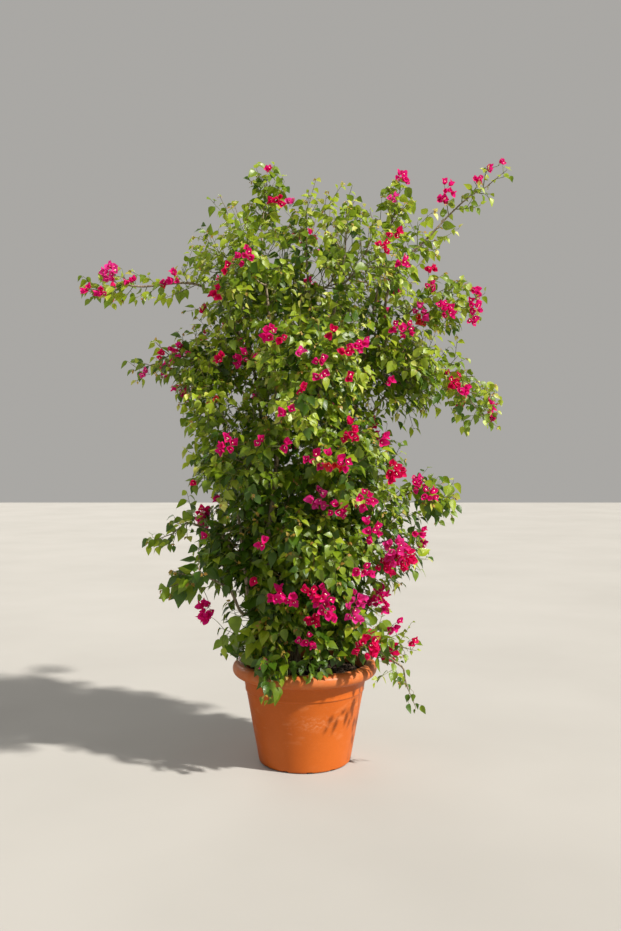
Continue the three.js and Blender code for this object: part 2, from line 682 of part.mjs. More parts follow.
// The leaf that ends a twig or stem, aimed a little up to make up for its own droop.
function addEndLeaf(mass, host, curve, heading, outward) {
  const direction = heading.clone().addScaledVector(UP, LEAF.droop).normalize();
  const facing = outward.clone().addScaledVector(UP, LEAF_AIM.tilt);
  addBlade(mass, host, leafGeometry, mass.leaf, { root: curve.getPoint(BLADE_ROOT), direction, facing });
}

// Blooms on stalks of their own, from the nearest place on the mass's stem.
function growBlooms(mass, places) {
  for (const place of places) {
    const start = mass.curve.getPoint(nearestAlong(mass.curve, place));
    const stalk = new THREE.LineCurve3(start, place);
    const direction = stalk.getTangent(1).add(BLOOM_FACING).normalize();
    const solid = solidOf(limbGeometry(stalk, taper(TWIG.radius, BLOOM_STALK.tipRadius), TWIG.sides, 1));
    const host = addPiece(mass, solid, mass.pieces[0]);
    if (!host) continue;
    const seat = { root: stalk.getPoint(BLADE_ROOT), direction, facing: UP };
    if (!addBlade(mass, host, bloomGeometry, BLOOM.radius, seat)) mass.pieces.pop();
  }
}

function nearestAlong(curve, place) {
  const distances = curve.getPoints(CURVE_POINTS).map((point) => point.distanceTo(place));
  return Math.max(BLOOM_STALK.first, distances.indexOf(Math.min(...distances)) / CURVE_POINTS);
}

// Twigs at golden-angle turns round the mass's stem, each with a sprig or a bloom at its end.
function growTwigs(mass, random) {
  const bloomChance = mass.tip[1] > BACK_FROM ? BACK_BLOOM_CHANCE : 0;
  const twigs = [{ curve: mass.curve, piece: mass.pieces[0] }];
  for (let i = 0; i < mass.twigs; i += 1) {
    const along = mix(TWIG.first, TWIG.last, (i + 0.5) / mass.twigs);
    const root = mass.curve.getPoint(along);
    const lean = mix(TWIG.leanLow, TWIG.leanHigh, along) + TWIG.leanSpread * mix(-1, 1, random());
    const turn = GOLDEN_ANGLE * i + mass.index;
    const direction = leaned(mass.curve.getTangent(along), THREE.MathUtils.degToRad(lean), turn);
    const room = reach(mass.space, root, direction) - TWIG.room;
    const length = Math.min(TWIG.longest, room) * mix(TWIG.leastFill, 1, random());
    const blooms = random() < bloomChance || mass.flowering;
    if (length < TWIG.shortest) continue;
    const curve = new THREE.LineCurve3(root, root.clone().addScaledVector(direction, length));
    const solid = solidOf(limbGeometry(curve, taper(TWIG.radius, 0), TWIG.sides, 1));
    const piece = addPiece(mass, solid, mass.pieces[0]);
    if (!piece) continue;
    twigs.push({ curve, piece });
    const outward = outwardOf(mass, curve.getPoint(1), random);
    const end = curve.getPoint(BLADE_ROOT);
    if (blooms) {
      addBlade(mass, piece, bloomGeometry, BLOOM.radius, { root: end, direction, facing: UP });
    } else {
      const facing = UP.clone().applyAxisAngle(outward, random() * Math.PI);
      const aim = outward.clone().add(direction).addScaledVector(UP, LEAF_AIM.tilt).normalize();
      addBlade(mass, piece, sprigGeometry, mass.sprig, { root: end, direction: aim, facing });
    }
  }
  return twigs;
}

// Leaves dealt to the twigs in turn, each at a new place along its twig and on the other side,
// spread like tiles with their faces to the outside.
function growLeaves(mass, twigs, random) {
  let grown = 0;
  for (let i = 0; i < mass.leaves * LEAF_TRIES && grown < mass.leaves; i += 1) {
    const { curve, piece } = twigs[i % twigs.length];
    const root = curve.getPoint(mix(LEAF_ALONG.first, LEAF_ALONG.last, (i * GOLDEN_SHARE) % 1));
    const outward = outwardOf(mass, root, random);
    const side = UP.clone().cross(outward);
    const direction = side.multiplyScalar((i % 2 === 0 ? 1 : -1) * mix(LEAF_AIM.leastSide, 1, random()))
      .addScaledVector(UP, mix(-LEAF_AIM.down, LEAF_AIM.up, random()))
      .addScaledVector(outward, LEAF_AIM.lift)
      .normalize();
    const facing = outward.clone().addScaledVector(UP, LEAF_AIM.tilt);
    const size = mass.leaf * mix(LEAF_SIZES.least, LEAF_SIZES.most, random());
    if (addBlade(mass, piece, leafGeometry, size, { root, direction, facing })) grown += 1;
  }
}

function growMass(mass, places) {
  const random = seeded(mass.index + 1);
  const heading = vector(mass.tip).sub(mass.curve.getPoint(1)).normalize();
  addEndLeaf(mass, mass.pieces[0], mass.curve, heading, mass.open ? vector([0, -1, 0]) : UP);
  growBlooms(mass, places);
  const twigs = growTwigs(mass, random);
  growLeaves(mass, twigs, random);
  return fused(mass.pieces.map((piece) => piece.solid));
}

// The front blooms, each in the mass that a line from the front meets first at its place.
function shareBlooms(masses) {
  const shares = new Map(masses.map((mass) => [mass.name, []]));
  for (const [x, z] of FRONT_BLOOMS) {
    let first = null;
    for (const mass of masses) {
      const y = frontOf(mass.space, x, z);
      if (y !== null && (!first || y < first.y)) first = { mass, y };
    }
    if (first) shares.get(first.mass.name).push(vector([x, first.y + BLOOM.radius, z]));
  }
  return shares;
}

// The first place in a space on a line from the front, or nothing.
function frontOf(space, x, z) {
  for (let y = FRONT_SEARCH.from; y < FRONT_SEARCH.to; y += FRONT_SEARCH.step) {
    if (holds(space, vector([x, y, z]))) return y;
  }
  return null;
}

const group = new THREE.Group();
const trunk = makeTrunk();
group.add(meshOf('pot', makePot(), MATERIALS.pot));
group.add(meshOf('soil', makeSoil(), MATERIALS.soil));
group.add(meshOf('trunk', trunk, MATERIALS.bark));

const limbs = new Map();
for (const stem of STEMS) limbs.set(stem.name, makeStem(stem));
limbs.set(SIDE_STEM.name, makeSideStem());
for (const bough of BOUGHS) limbs.set(bough.name, makeBough(bough, limbs));
for (const limb of limbs.values()) group.add(meshOf(limb.name, limb.solid, MATERIALS.bark));
limbs.set('trunk', { guard: guardOf(trunk) });
limbs.set('pot', { guard: potGuard() });

const plans = [...tierPlans(limbs), ...SPRAYS.map((spray) => ({ ...SPRAY_GROWTH, ...spray }))];
const masses = sproutMasses(plans, limbs);
masses.forEach((mass, i) => {
  masses.slice(i + 1).forEach((other) => partSpaces(mass.space, other.space));
});
const bloomPlaces = shareBlooms(masses);
for (const mass of masses) {
  mass.guards = [...limbs.values(), ...masses.filter((one) => one !== mass)].map((one) => one.guard);
  mass.pieces = [guardOf(mass.solid)];
  const material = mass.flowering ? MATERIALS.blossom : MATERIALS.foliage;
  group.add(meshOf(mass.name, growMass(mass, bloomPlaces.get(mass.name)), material));
}

export default group;
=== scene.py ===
import math
from types import SimpleNamespace

import bpy
import numpy as np
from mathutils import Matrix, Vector, noise


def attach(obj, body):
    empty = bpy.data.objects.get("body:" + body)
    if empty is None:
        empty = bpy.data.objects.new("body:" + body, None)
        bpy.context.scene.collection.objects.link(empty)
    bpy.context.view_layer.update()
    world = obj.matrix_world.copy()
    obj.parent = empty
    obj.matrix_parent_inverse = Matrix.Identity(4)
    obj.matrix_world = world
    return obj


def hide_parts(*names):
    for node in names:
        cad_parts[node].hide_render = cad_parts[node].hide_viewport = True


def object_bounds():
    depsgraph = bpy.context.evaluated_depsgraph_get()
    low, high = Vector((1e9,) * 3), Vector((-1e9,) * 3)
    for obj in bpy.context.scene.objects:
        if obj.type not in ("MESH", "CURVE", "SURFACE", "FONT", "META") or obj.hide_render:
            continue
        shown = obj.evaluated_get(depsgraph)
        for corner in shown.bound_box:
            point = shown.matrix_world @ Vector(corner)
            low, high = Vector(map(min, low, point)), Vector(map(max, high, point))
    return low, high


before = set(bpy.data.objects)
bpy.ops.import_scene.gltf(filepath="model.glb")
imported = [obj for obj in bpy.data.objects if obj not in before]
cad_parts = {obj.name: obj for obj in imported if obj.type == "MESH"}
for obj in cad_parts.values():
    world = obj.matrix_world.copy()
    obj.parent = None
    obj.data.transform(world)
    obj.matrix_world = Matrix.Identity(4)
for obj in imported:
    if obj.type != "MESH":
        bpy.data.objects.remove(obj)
CAD_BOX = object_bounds()

# The growth is worked out in millimetres, in the frame of the part's source; meshes are in metres.
METRES = 0.001
UP = np.array([0.0, 0.0, 1.0])
ACROSS = np.array([1.0, 0.0, 0.0])
GOLDEN_ANGLE = math.radians(137.5)

# The camera stands where the photo was taken from, in millimetres.
CAMERA_PLACE = np.array([16.6, -2622.0, 888.0])
CAMERA_TILT = 0.7
FOCAL_PIXELS = 900
PICTURE_HEIGHT = 931
SENSOR = 36

# Pot, its outline from the underside up over the rim and down inside, and the notches round its foot
POT_SEGMENTS = 168
POT_HEIGHT = 288
RIM_RADIUS = 210
RIM_HEIGHT = 38
NECK_RADIUS = 178
COLLAR_HEIGHT = 44
COLLAR_STEP = 2.4
COLLAR_BEAD = ((0, 0), (1, 0.45), (2.2, 0.85), (3.8, 1), (6, 0.9), (9, 0.6), (14, 0.45), (34, 0.45))
FOOT_RADIUS = 133
FOOT_ROUNDING = 6
POT_WALL = 5
FLOOR_THICKNESS = 7
MOUTH_BEVEL = 4
UNDERSIDE_RINGS = (40, 90)
FOOT_STEPS = 6
WALL_RINGS = {"first": 5, "last": 2, "count": 26}
NECK_STEP = 5
ROLL_STEP = 9
INSIDE_LEVELS = (260, 200, 120, FLOOR_THICKNESS)
INSIDE_MIDDLE = 60
NECK_BEVEL = 2
LIP = (1.2, 1)
POT_SHARP_ANGLE = 38
NOTCHES = 12
NOTCH = {"width": 16, "depth": 14, "height": 4.5, "turn": 6}
WALL_TOP = POT_HEIGHT - RIM_HEIGHT
WALL_SLOPE = (NECK_RADIUS - FOOT_RADIUS) / WALL_TOP

# Soil
SOIL_LEVEL = 256
SOIL_GAP = 0.3
GROUND = SOIL_LEVEL + SOIL_GAP
SOIL_FLOOR_GAP = 0.5
SOIL_WALL_GAP = 0.4
SOIL_RINGS = 60
SOIL_SEGMENTS = 150
SOIL_BUMPS = ((0.03, 4, 4), (0.11, 9, 3), (0.4, 2, 1.4))
SOIL_TOP = {"highest": 6, "edge": 14, "sink": 1.5, "middle": 0.004}
CRUMBS = {
    "count": 900, "size": (1.6, 5.0), "edge": 8, "rise": (-1, 2.5),
    "knobs": (0.5, 1), "shape": (1, 0.8, 0.6),
}

# Trunk, roots and forks
TRUNK = {"place": (-30, -15), "top": (-26, -18, 336), "foot_radius": 19, "top_radius": 14}
ROOTS = {"count": 5, "turn": 23, "spread": 46, "rise": 44, "radius": 11, "tip_radius": 5}
FORK = {"length": 62, "tilt": 38, "foot_radius": 11, "radius": 9.5}
BELOW_SOIL = 20
ROOT_DIP = 12
TRUNK_VOXEL = 2.0
TRUNK_SMOOTHING = {"factor": 0.5, "iterations": 6}
TRUNK_RELIEF = 1.3

# Stems: from a fork, or from the soil, through two places to the top
STEM = {"radius": 8.5, "tip_radius": 3.2, "flare": 1.0, "fade": 25}
STRAIGHT_START = 40
STEMS = {
    "stem_front_left": (232, (-104, -88, 560), (-74, -96, 960), (-122, -36, 1476)),
    "stem_front_right": (304, (54, -78, 580), (34, -104, 980), (112, -52, 1440)),
    "stem_right": (12, (64, -2, 560), (134, 14, 960), (222, -8, 1420)),
    "stem_back": (84, (-6, 84, 600), (34, 90, 1000), (6, 46, 1450)),
    "stem_left": (158, (-126, 32, 580), (-128, 66, 960), (-196, 32, 1400)),
}
SIDE_STEM = {
    "foot": (-136, -64),
    "via": ((-160, -98, 500), (-190, -88, 740)),
    "top": (-236, -52, 1010),
    "radius": 6.5,
    "tip_radius": 3.2,
    "flare": 5.5,
    "fade": 40,
}

# Boughs: the stem, the level on it, a place on the way and the tip
BOUGH = {"radius": 4.6, "tip_radius": 3, "flare": 1.6, "fade": 12, "square_start": 14}
BOUGHS = {
    "bough_far_right": ("stem_right", 1210, (262, 6, 1420), (352, 0, 1512)),
    "bough_right_high": ("stem_right", 1130, (246, -34, 1230), (306, -44, 1300)),
    "bough_right_arch": ("stem_right", 960, (270, 4, 1092), (416, 0, 1126)),
    "bough_right_middle": ("stem_right", 640, (214, -16, 742), (304, -16, 776)),
    "bough_right_low": ("stem_front_right", 420, (150, -132, 380), (256, -122, 308)),
    "bough_far_left": ("stem_left", 1240, (-300, 8, 1378), (-478, 0, 1376)),
    "bough_left_high": ("stem_left", 1050, (-262, 10, 1146), (-352, -6, 1172)),
    "bough_left_middle": ("stem_side", 570, (-230, -72, 650), (-306, -52, 686)),
    "bough_left_low": ("stem_side", 440, (-214, -86, 508), (-282, -84, 546)),
    "bough_back_high": ("stem_back", 1110, (46, 210, 1236), (84, 348, 1300)),
    "bough_back_left": ("stem_left", 680, (-160, 210, 806), (-208, 330, 842)),
    "bough_front": ("stem_front_left", 860, (-66, -220, 980), (-34, -318, 1020)),
}

# Tiers of four masses round the axis: level, reach left, right, front and back, turn and girth
TIER_MASSES = 4
TIER_DROP = 70
TIER_FOOT = 3
TIERS = {
    "foot": (408, 262, 250, 250, 250, 45, 142),
    "low": (662, 305, 350, 300, 300, 0, 176),
    "middle": (900, 360, 330, 330, 330, 45, 176),
    "high": (1165, 395, 420, 340, 340, 0, 186),
    "top": (1440, 350, 330, 310, 310, 45, 172),
}
SIDE_NAMES = ("right", "back", "left", "front")
TURNED_NAMES = ("back_right", "back_left", "front_left", "front_right")

# Sprays that stand out of the body: limb, level on it or None for its tip, spray's tip and girth
SPRAYS = {
    "spray_top_left": ("stem_front_left", None, (-107, 0, 1728), 74),
    "spray_top_centre": ("stem_back", None, (4, 22, 1634), 84),
    "spray_top_middle": ("stem_front_right", None, (120, -30, 1612), 84),
    "spray_top_right": ("stem_right", None, (284, 0, 1692), 62),
    "spray_far_right": ("bough_far_right", None, (606, 0, 1730), 58),
    "spray_right_high": ("bough_right_high", None, (508, -10, 1336), 88),
    "spray_right_arch": ("bough_right_arch", None, (544, 0, 962), 84),
    "spray_right_middle": ("bough_right_middle", None, (442, -6, 736), 72),
    "spray_right_low": ("bough_right_low", None, (320, -104, 160), 52),
    "spray_right_foot": ("stem_right", 372, (345, -54, 322), 56),
    "spray_over_rim": ("stem_front_left", 389, (-108, -266, 238), 50),
    "spray_far_left": ("bough_far_left", None, (-650, 0, 1366), 60),
    "spray_left_high": ("bough_left_high", None, (-515, 0, 1128), 76),
    "spray_left_middle": ("bough_left_middle", None, (-462, -50, 630), 56),
    "spray_left_low": ("bough_left_low", None, (-418, -84, 500), 60),
    "spray_back_high": ("bough_back_high", None, (150, 500, 1290), 74),
    "spray_back_left": ("bough_back_left", None, (-290, 462, 770), 70),
    "spray_front": ("bough_front", None, (14, -436, 968), 70),
}
FLOWERING = ("spray_top_right", "spray_right_high", "spray_far_left")

# Growth: how far a mass's stem ends before its tip, how far apart twigs, side twigs and leaves stand,
# and whether there is room on all sides
BODY_GROWTH = {"end_gap": 146, "twig_gap": 12, "side_gap": 25, "leaf_gap": 15, "open": False}
HIGH_GROWTH = {"end_gap": 146, "twig_gap": 9, "side_gap": 22, "leaf_gap": 15, "open": False}
HIGH_TIERS = ("high", "top")
SPRAY_GROWTH = {"end_gap": 92, "twig_gap": 15, "side_gap": 30, "leaf_gap": 14, "open": True}
DENSE_GROWTH = {"end_gap": 92, "twig_gap": 11, "side_gap": 25, "leaf_gap": 14, "open": True}
DENSE_SPRAYS = ("spray_right_high", "spray_right_arch", "spray_right_middle")
SPARSE_GROWTH = {"end_gap": 92, "twig_gap": 30, "side_gap": 40, "leaf_gap": 18, "open": True}
SPARSE_SPRAYS = ("spray_right_foot", "spray_right_low", "spray_far_right", "spray_left_high")
STEM_GROWTH = {"twig_gap": 15, "side_gap": 30, "leaf_gap": 15, "open": False}
BOUGH_GROWTH = {"twig_gap": 20, "side_gap": 40, "leaf_gap": 14, "open": True}
STEM_SHOOTS = {"first": 0.1, "length": (60, 165)}
BOUGH_SHOOTS = {"first": 0.25, "length": (25, 80)}
SHOOT_LEAN = (38, 68)
SHOOT_LIFT = (-0.5, 1)
LAST_PLACE = 0.99
SHOOT_RADIUS = 1.4
ROOM_STEPS = np.arange(10.0, 180.0, 10.0)

# Shoots over the pot's rim: azimuth, and how far below the rim's top each one ends
RIM_SHOOTS = (
    (243, 22), (250, 36), (258, 16), (275, 4), (12, 12), (48, 20), (92, 8), (128, 24), (170, 10),
)
RIM_SHOOT = {"over": (-30, 26), "lift": (20, 14), "past": (20, 34), "end": 16, "inward": 40, "radius": 1.5}
RIM_MARGIN = 8
RIM_CONE = 1.2

# More shoots, by their tips; each one's foot is nearer to the axis and lower by the drop
SHOOT_FOOT = (0.85, 0.85, 1)
SHOOT_BEND = 0.4
TOP_SHOOTS = {
    "tips": (
        (-250, -10, 1640), (-214, -60, 1600), (12, -40, 1652), (64, -80, 1636), (140, -40, 1668),
        (-160, 60, 1640), (40, 140, 1650), (180, 90, 1630), (-330, 0, 1500), (350, -10, 1460),
    ),
    "drop": 90,
    "growth": {"leaf_gap": 13, "side_gap": 200, "open": True},
}
SIDE_SHOOTS = {
    "tips": (
        (-330, -60, 1085), (-350, -10, 1040), (-322, -110, 1000), (-345, 40, 985), (-318, -60, 930),
        (-338, 0, 1120), (-290, -150, 960), (-310, 60, 1050), (-300, -120, 1060), (-280, -60, 1010),
        (-300, 0, 890), (-296, -100, 870), (-250, -170, 1020), (330, -90, 1180), (350, 30, 1210),
        (300, -150, 1150),
    ),
    "drop": 40,
    "growth": {"leaf_gap": 14, "side_gap": 26, "open": True},
}

# A mass's stem and its twigs
INNER_RADIUS = 190
MASS_STEM = {
    "radius": 3.2, "tip_radius": 1.7, "bare": 0.35,
    "square_share": 0.25, "end_share": 0.3, "arch": 0.1,
}
LEAST_STEM_SHARE = 0.5
LEADER = {"start": 0.97, "share": 0.9, "lift": -0.04}
TWIG = {
    "radius": 1.7, "tip_radius": 0.7, "bare": 0.15, "first": 0.12, "last": 0.97,
    "lean": (75, 40), "spread": 12, "longest": 220, "shortest": 24, "length": (0.8, 1), "lift": (-0.3, 1),
}
SIDE_TWIG = {
    "radius": 1.0, "tip_radius": 0.5, "bare": 0.12, "first": 0.22, "last": 0.92,
    "lean": (35, 60), "length": (38, 105), "rise": 0.25, "lift": (-0.8, 1),
}
WOODY_EVERY = 3
TWIG_POINTS = 6
TWIG_ROOM = 8
TWIG_LIFT = 0.22
NEIGHBOUR_GAP = 1
TIP_ROOM = 14
CUT_SLACK = 26

# Leaves: tones from the oldest to the youngest, which by a spray's place also stand for painted shade and
# painted light, and the size by height above the ground
TONES = ("deep", "mid", "fresh", "pale", "young")
LEAF_STATIONS = ((0, 0.12), (0.1, 0.7), (0.3, 1), (0.55, 0.8), (0.8, 0.34), (1, 0.02))
LEAF_WIDTH = 0.68
LEAF_SIZE = {"low": 42, "high": 36, "spread": (0.72, 1.15), "own_spread": (0.85, 1.1)}
LEAF_TAPER = {"from": 0.45, "tip_share": 0.55}
LEAF_ROW = {"tone_place": 0.7, "size_place": 0.5, "start": (0, 6), "first": 0.6, "fewest": 2}
LEAF_LEVELS = (450, 1350)
LEAF = {
    "stalk_share": 0.28, "stalk_lean": (42, 70), "stalk_rise": 0.35,
    "run": 0.75, "out": 0.3, "hang": (0.15, 1.0),
}
FACING = {
    "outward": (0.35, 1.0), "up": (0.25, 1.05), "sideways": (-0.55, 0.55),
    "front_share": 0.6, "turn": 0.8,
}
BLADE = {
    "fold": (0.12, 0.5), "droop": (0.05, 0.34), "wave": (0, 0.1), "phase": (0, 6),
    "breadth": (0.86, 1.08), "ripples": 9, "curl": 1.25, "shortening": 0.25,
}
STALK = {"radius": 0.35, "by_size": 0.008, "taper": (1.1, 0.85)}
YOUNG_LEAVES = {"share": 0.35, "count": 2, "size": 0.3, "turn": 2.6}
THORN = {
    "share": 0.16, "lean": 75, "turn": 0.7, "length": (5, 9),
    "middle": 0.55, "rise": 0.03, "drop": 0.12, "radii": (0.9, 0.55, 0.08),
}

# Places with larger or smaller leaves, as seen from the front: across, up, radius and share of the size
LEAF_SIZE_PLACES = (
    (-260, 470, 160, 1.4), (340, 260, 150, 0.66), (500, 1650, 150, 0.8), (510, 1020, 130, 0.74),
    (480, 1330, 110, 0.8),
)

# Places with fresh leaves: across, up and radius
FRESH_PLACES = (
    (-14, 1000, 50), (-5, 645, 46), (-150, 1180, 46), (150, 1090, 50), (60, 1560, 60), (-120, 340, 46),
)
FRESH_SHARE = 0.55

# A spray's tone, painted shade low down and inside and painted light high up and outside: its score by
# height and by how far out it is, and the scores where tones change
PAINTED_LIGHT_SCORE = {"start": 0.32, "height": 0.68, "out": 0.34, "spread": 0.6, "mid": 0.62, "fresh": 1.22}
TONE_REACH = 420
TONE_LEVELS = (300, 1650)
YOUNGER_FROM = {"along": 0.82, "spread": 0.2}

# Where leaves may hang: clear of the pot and the soil, and in the CAD model's box
POT_CLEARANCE = 7
MOUTH_RADIUS = 168
BOX_LOW, BOX_HIGH = (np.array(corner) / METRES for corner in CAD_BOX)

# Places that stay open, as seen from the front: across, up, half sizes and share of the leaves kept
OPENINGS = (
    (166, 1411, 98, 135, 0.75),
    (150, 1420, 52, 100, 0.3),
    (-234, 1470, 34, 48, 0.35),
    (334, 950, 70, 55, 0.35),
    (-222, 450, 76, 110, 0.3),
    (-166, 435, 38, 92, 0.04),
    (-290, 380, 26, 60, 0.3),
    (-72, 550, 28, 90, 0.3),
    (-300, 640, 40, 60, 0.5),
    (16, 1560, 60, 50, 0.6),
    (98, 258, 30, 36, 0.0),
    (-75, 1469, 36, 26, 0.08),
    (21, 1414, 32, 28, 0.06),
    (123, 1507, 34, 28, 0.08),
    (65, 1385, 36, 28, 0.1),
)

# Trusses of blossom that show from the front: across, up and blooms in the truss
FRONT_TRUSSES = (
    (-107, 1712, 2), (-82, 1624, 4), (-45, 1613, 2), (-171, 1468, 6), (-229, 1422, 2), (-262, 1352, 4),
    (257, 1630, 3), (280, 1685, 5), (263, 1528, 3), (227, 1495, 4), (281, 1444, 4),
    (400, 1630, 4), (417, 1656, 5), (502, 1691, 3), (531, 1723, 2), (572, 1729, 2),
    (-562, 1411, 11), (-503, 1388, 3), (-591, 1364, 4), (-632, 1364, 3), (-381, 1399, 5), (-410, 1386, 2),
    (411, 1306, 8), (365, 1379, 4), (337, 1296, 9), (298, 1245, 6), (255, 1258, 2), (371, 1428, 3),
    (496, 1370, 4), (493, 1318, 6), (487, 1277, 3),
    (-96, 1235, 5), (-119, 1237, 2), (-68, 1228, 2), (-18, 1178, 2), (49, 1160, 3), (49, 1112, 3),
    (-13, 1063, 2), (-246, 1161, 3), (-182, 1166, 7), (-371, 1190, 6), (-419, 1172, 2), (-463, 1123, 2),
    (173, 1207, 3), (144, 1207, 4), (121, 1186, 3), (126, 1114, 2), (71, 1243, 2), (239, 1097, 2),
    (435, 1102, 6), (464, 1073, 4),
    (-268, 1035, 2), (-49, 1003, 3), (-230, 914, 7), (-134, 921, 2), (-61, 913, 2), (-24, 913, 3),
    (23, 866, 4), (85, 866, 7), (119, 856, 2), (134, 955, 6), (221, 931, 2),
    (260, 837, 7), (330, 801, 6), (359, 765, 5), (336, 658, 3), (179, 758, 6), (41, 763, 6), (98, 724, 5),
    (196, 663, 6), (-305, 726, 2), (-323, 811, 1), (-285, 645, 1), (-122, 631, 3),
    (262, 606, 15), (292, 582, 8), (230, 560, 5), (169, 550, 4), (-147, 535, 1), (-288, 441, 6),
    (-285, 412, 3),
    (-79, 464, 5), (-47, 470, 4), (18, 486, 4), (50, 468, 6), (66, 430, 5), (23, 414, 4),
    (153, 459, 7), (216, 461, 11), (142, 416, 5), (184, 328, 12), (2, 348, 4), (-125, 272, 2),
    (241, 329, 3), (252, 289, 3), (264, 389, 3), (310, 341, 2),
)

# How deep the front's trusses are looked for, and where the far ones grow
FRONT_DEPTHS = {"first": -480, "last": 140, "step": 8}
FRONT_SPREAD = 600
FRONT_RISE = 0.1
FAR_TRUSSES = {
    "count": 96, "blooms": (2, 7), "levels": (360, 1560),
    "start": 40, "depth": 70, "across": 240, "reach": 46,
}

# Bracts, spurs, trusses and florets
BLOOM_TONES = ("magenta", "crimson", "pink", "coral")
BRACT_STATIONS = ((0, 0.2), (0.14, 0.7), (0.38, 1), (0.66, 0.9), (0.88, 0.52), (1, 0.04))
BRACT = {
    "count": 3, "length": (19, 29), "width": 0.74, "opening": (9, 31), "by_level": (1.04, 0.84),
    "foot": (2, 0.8), "own_length": (0.9, 1.08), "own_width": (0.92, 1.08),
    "fold": (0.3, 0.55), "droop": (0.02, 0.3), "wave": (0.08, 0.2),
}
SPUR = {"radius": 1.0, "tip_radius": 0.6, "run": 0.35, "rise": 0.12, "end": 0.3}
TRUSS = {
    "rise": (-0.1, 0.7), "spread": 28, "spread_by_bloom": 8, "widest": 6,
    "first": 0.3, "ease": (0.85, 1.1), "turn": 0.3,
}
BLOOM = {"stalk": (7, 15), "stalk_by_bloom": 0.1, "stalk_size": 40, "out": 0.35, "nod": (-0.15, 0.75)}
BLOOM_DEPTH = 14
TONE_SHARES = (0.64, 0.88)
YOUNG_PLACES = ((-285, 1044, 30), (-410, 1380, 30), (350, 1296, 50), (60, 866, 30))
YOUNG_SHARE = 0.5
FLORET = {"count": 3, "radius": 0.8, "lean": (8, 16), "height": (0.42, 0.56), "flare": (0.7, 1.1, 1.3)}
STAR = {"share": 0.33, "radius": 1.9, "lobes": 5, "waist": 0.5, "cup": 0.25, "middle": 0.2}

# Limbs' meshes
LIMB_GAP = 5
CURVE_POINTS = {"stem": 120, "bough": 60, "search": 41, "length": 12}
LIMB_SIDES = {
    "trunk": 20, "stem": 14, "bough": 12,
    "woody": 5, "green": 4, "stalk": 3, "thorn": 4, "floret": 4,
}
TRUNK_ROWS = 14
FORK_START = 0.55
SWELLING = {"height": 0.16, "gap": 64, "half_length": 5, "shift": 17}

# Bark relief: each noise's scale across and along the limb and its share, and the relief on a limb
BARK_NOISE = ((0.34, 0.035, 0.9), (0.16, 0.12, 0.6), (0.9, 0.16, 0.4))
RELIEF = 0.17
RELIEF_SEEDS = {"trunk": 9, "boughs": 20}

# Seeds of the draws that aren't a mass's own
SEEDS = {"limbs": 100, "rim": 200, "top": 300, "side": 301, "bracts": 5, "crumbs": 77}

# Plain colours, linear: two tones each that a soft pattern moves between
LEAF_COLOURS = {
    "deep": ((0.032, 0.082, 0.002), (0.056, 0.122, 0.004)),
    "mid": ((0.092, 0.160, 0.003), (0.158, 0.240, 0.006)),
    "fresh": ((0.210, 0.300, 0.010), (0.310, 0.390, 0.020)),
    "pale": ((0.420, 0.470, 0.060), (0.540, 0.560, 0.120)),
    "young": ((0.320, 0.160, 0.025), (0.400, 0.280, 0.045)),
}
BRACT_COLOURS = {
    "magenta": ((0.730, 0.006, 0.165), (0.860, 0.016, 0.270)),
    "crimson": ((0.640, 0.004, 0.082), (0.830, 0.009, 0.145)),
    "pink": ((0.760, 0.026, 0.270), (0.890, 0.062, 0.400)),
    "coral": ((0.620, 0.022, 0.036), (0.780, 0.060, 0.070)),
}

# Blades' looks: scales of the patterns, the speckle, the gloss, the veins and the light let through
LEAF_LOOK = {
    "shader": (0.4, 0.5), "broad": 34, "fine": 260, "speckle": 0.78, "fine_share": 0.55,
    "gloss": 90, "roughness": (0.29, 0.46), "veins": (7, 0.9), "bump": (0.35, 0.0006),
    "glow": 0.26, "brighter": 2.1, "paler": 0.02,
}
BRACT_LOOK = {
    "shader": (0.66, 0.12), "broad": 60, "fine": 420, "speckle": 0.82, "fine_share": 0.5,
    "gloss": 150, "roughness": (0.55, 0.72), "veins": (9, 1.3), "bump": (0.5, 0.0008),
    "glow": 0.4, "brighter": 1, "paler": 0,
}
RIB_HALF_WIDTH = 0.035
VEIN_DEPTH = 0.35

# Stage: the floor, the suns with their place, spread in degrees, power and tint, and the surround
FLOOR_REACH = 14
FLOOR_DROP = 0.0005
SUNS = {
    "key": ((3.1, -1.75, 4.35), 2.5, 6.4, (1.0, 0.95, 0.86)),
    "fill": ((0.6, -3.4, 2.4), 60, 0.3, (1.0, 0.97, 0.90)),
    "back": ((-1.2, 3.2, 2.8), 40, 0.9, (1.0, 0.97, 0.90)),
}
SUNS_AIM = (0, 0, 0.9)
SURROUND = {"Color": (1.0, 0.975, 0.93, 1), "Strength": 0.40}


# Numbers, arrows and turns

def mix(low, high, share):
    return low + (high - low) * share


class Seeded:
    """Numbers that are the same on every run, by the rule of the part's source."""

    def __init__(self, seed):
        self.state = seed * 7919 + 104729
        self.share()
        self.share()

    def share(self):
        self.state = (self.state * 1664525 + 1013904223) % 4294967296
        return self.state / 4294967296

    def between(self, low, high):
        return mix(low, high, self.share())


def unit(arrows):
    """Arrows made 1 long, one or many."""
    lengths = np.linalg.norm(arrows, axis=-1, keepdims=True)
    return arrows / np.maximum(lengths, 1e-9)


def turned(arrow, axis, angle):
    """An arrow turned round an axis of length 1."""
    cosine, sine = math.cos(angle), math.sin(angle)
    return arrow * cosine + np.cross(axis, arrow) * sine + axis * np.dot(axis, arrow) * (1 - cosine)


def level_arrow(angle):
    """The level arrow at an angle from the right-hand side, 1 long."""
    return np.array([math.cos(angle), math.sin(angle), 0.0])


def leaned(direction, lean, turn):
    """A direction that leans away from another one, turned round it."""
    reference = ACROSS if abs(direction[2]) > 0.9 else UP
    side = unit(np.cross(reference, direction))
    return unit(turned(turned(direction, side, lean), direction, turn))


# Curves, each from 0 to 1 along it

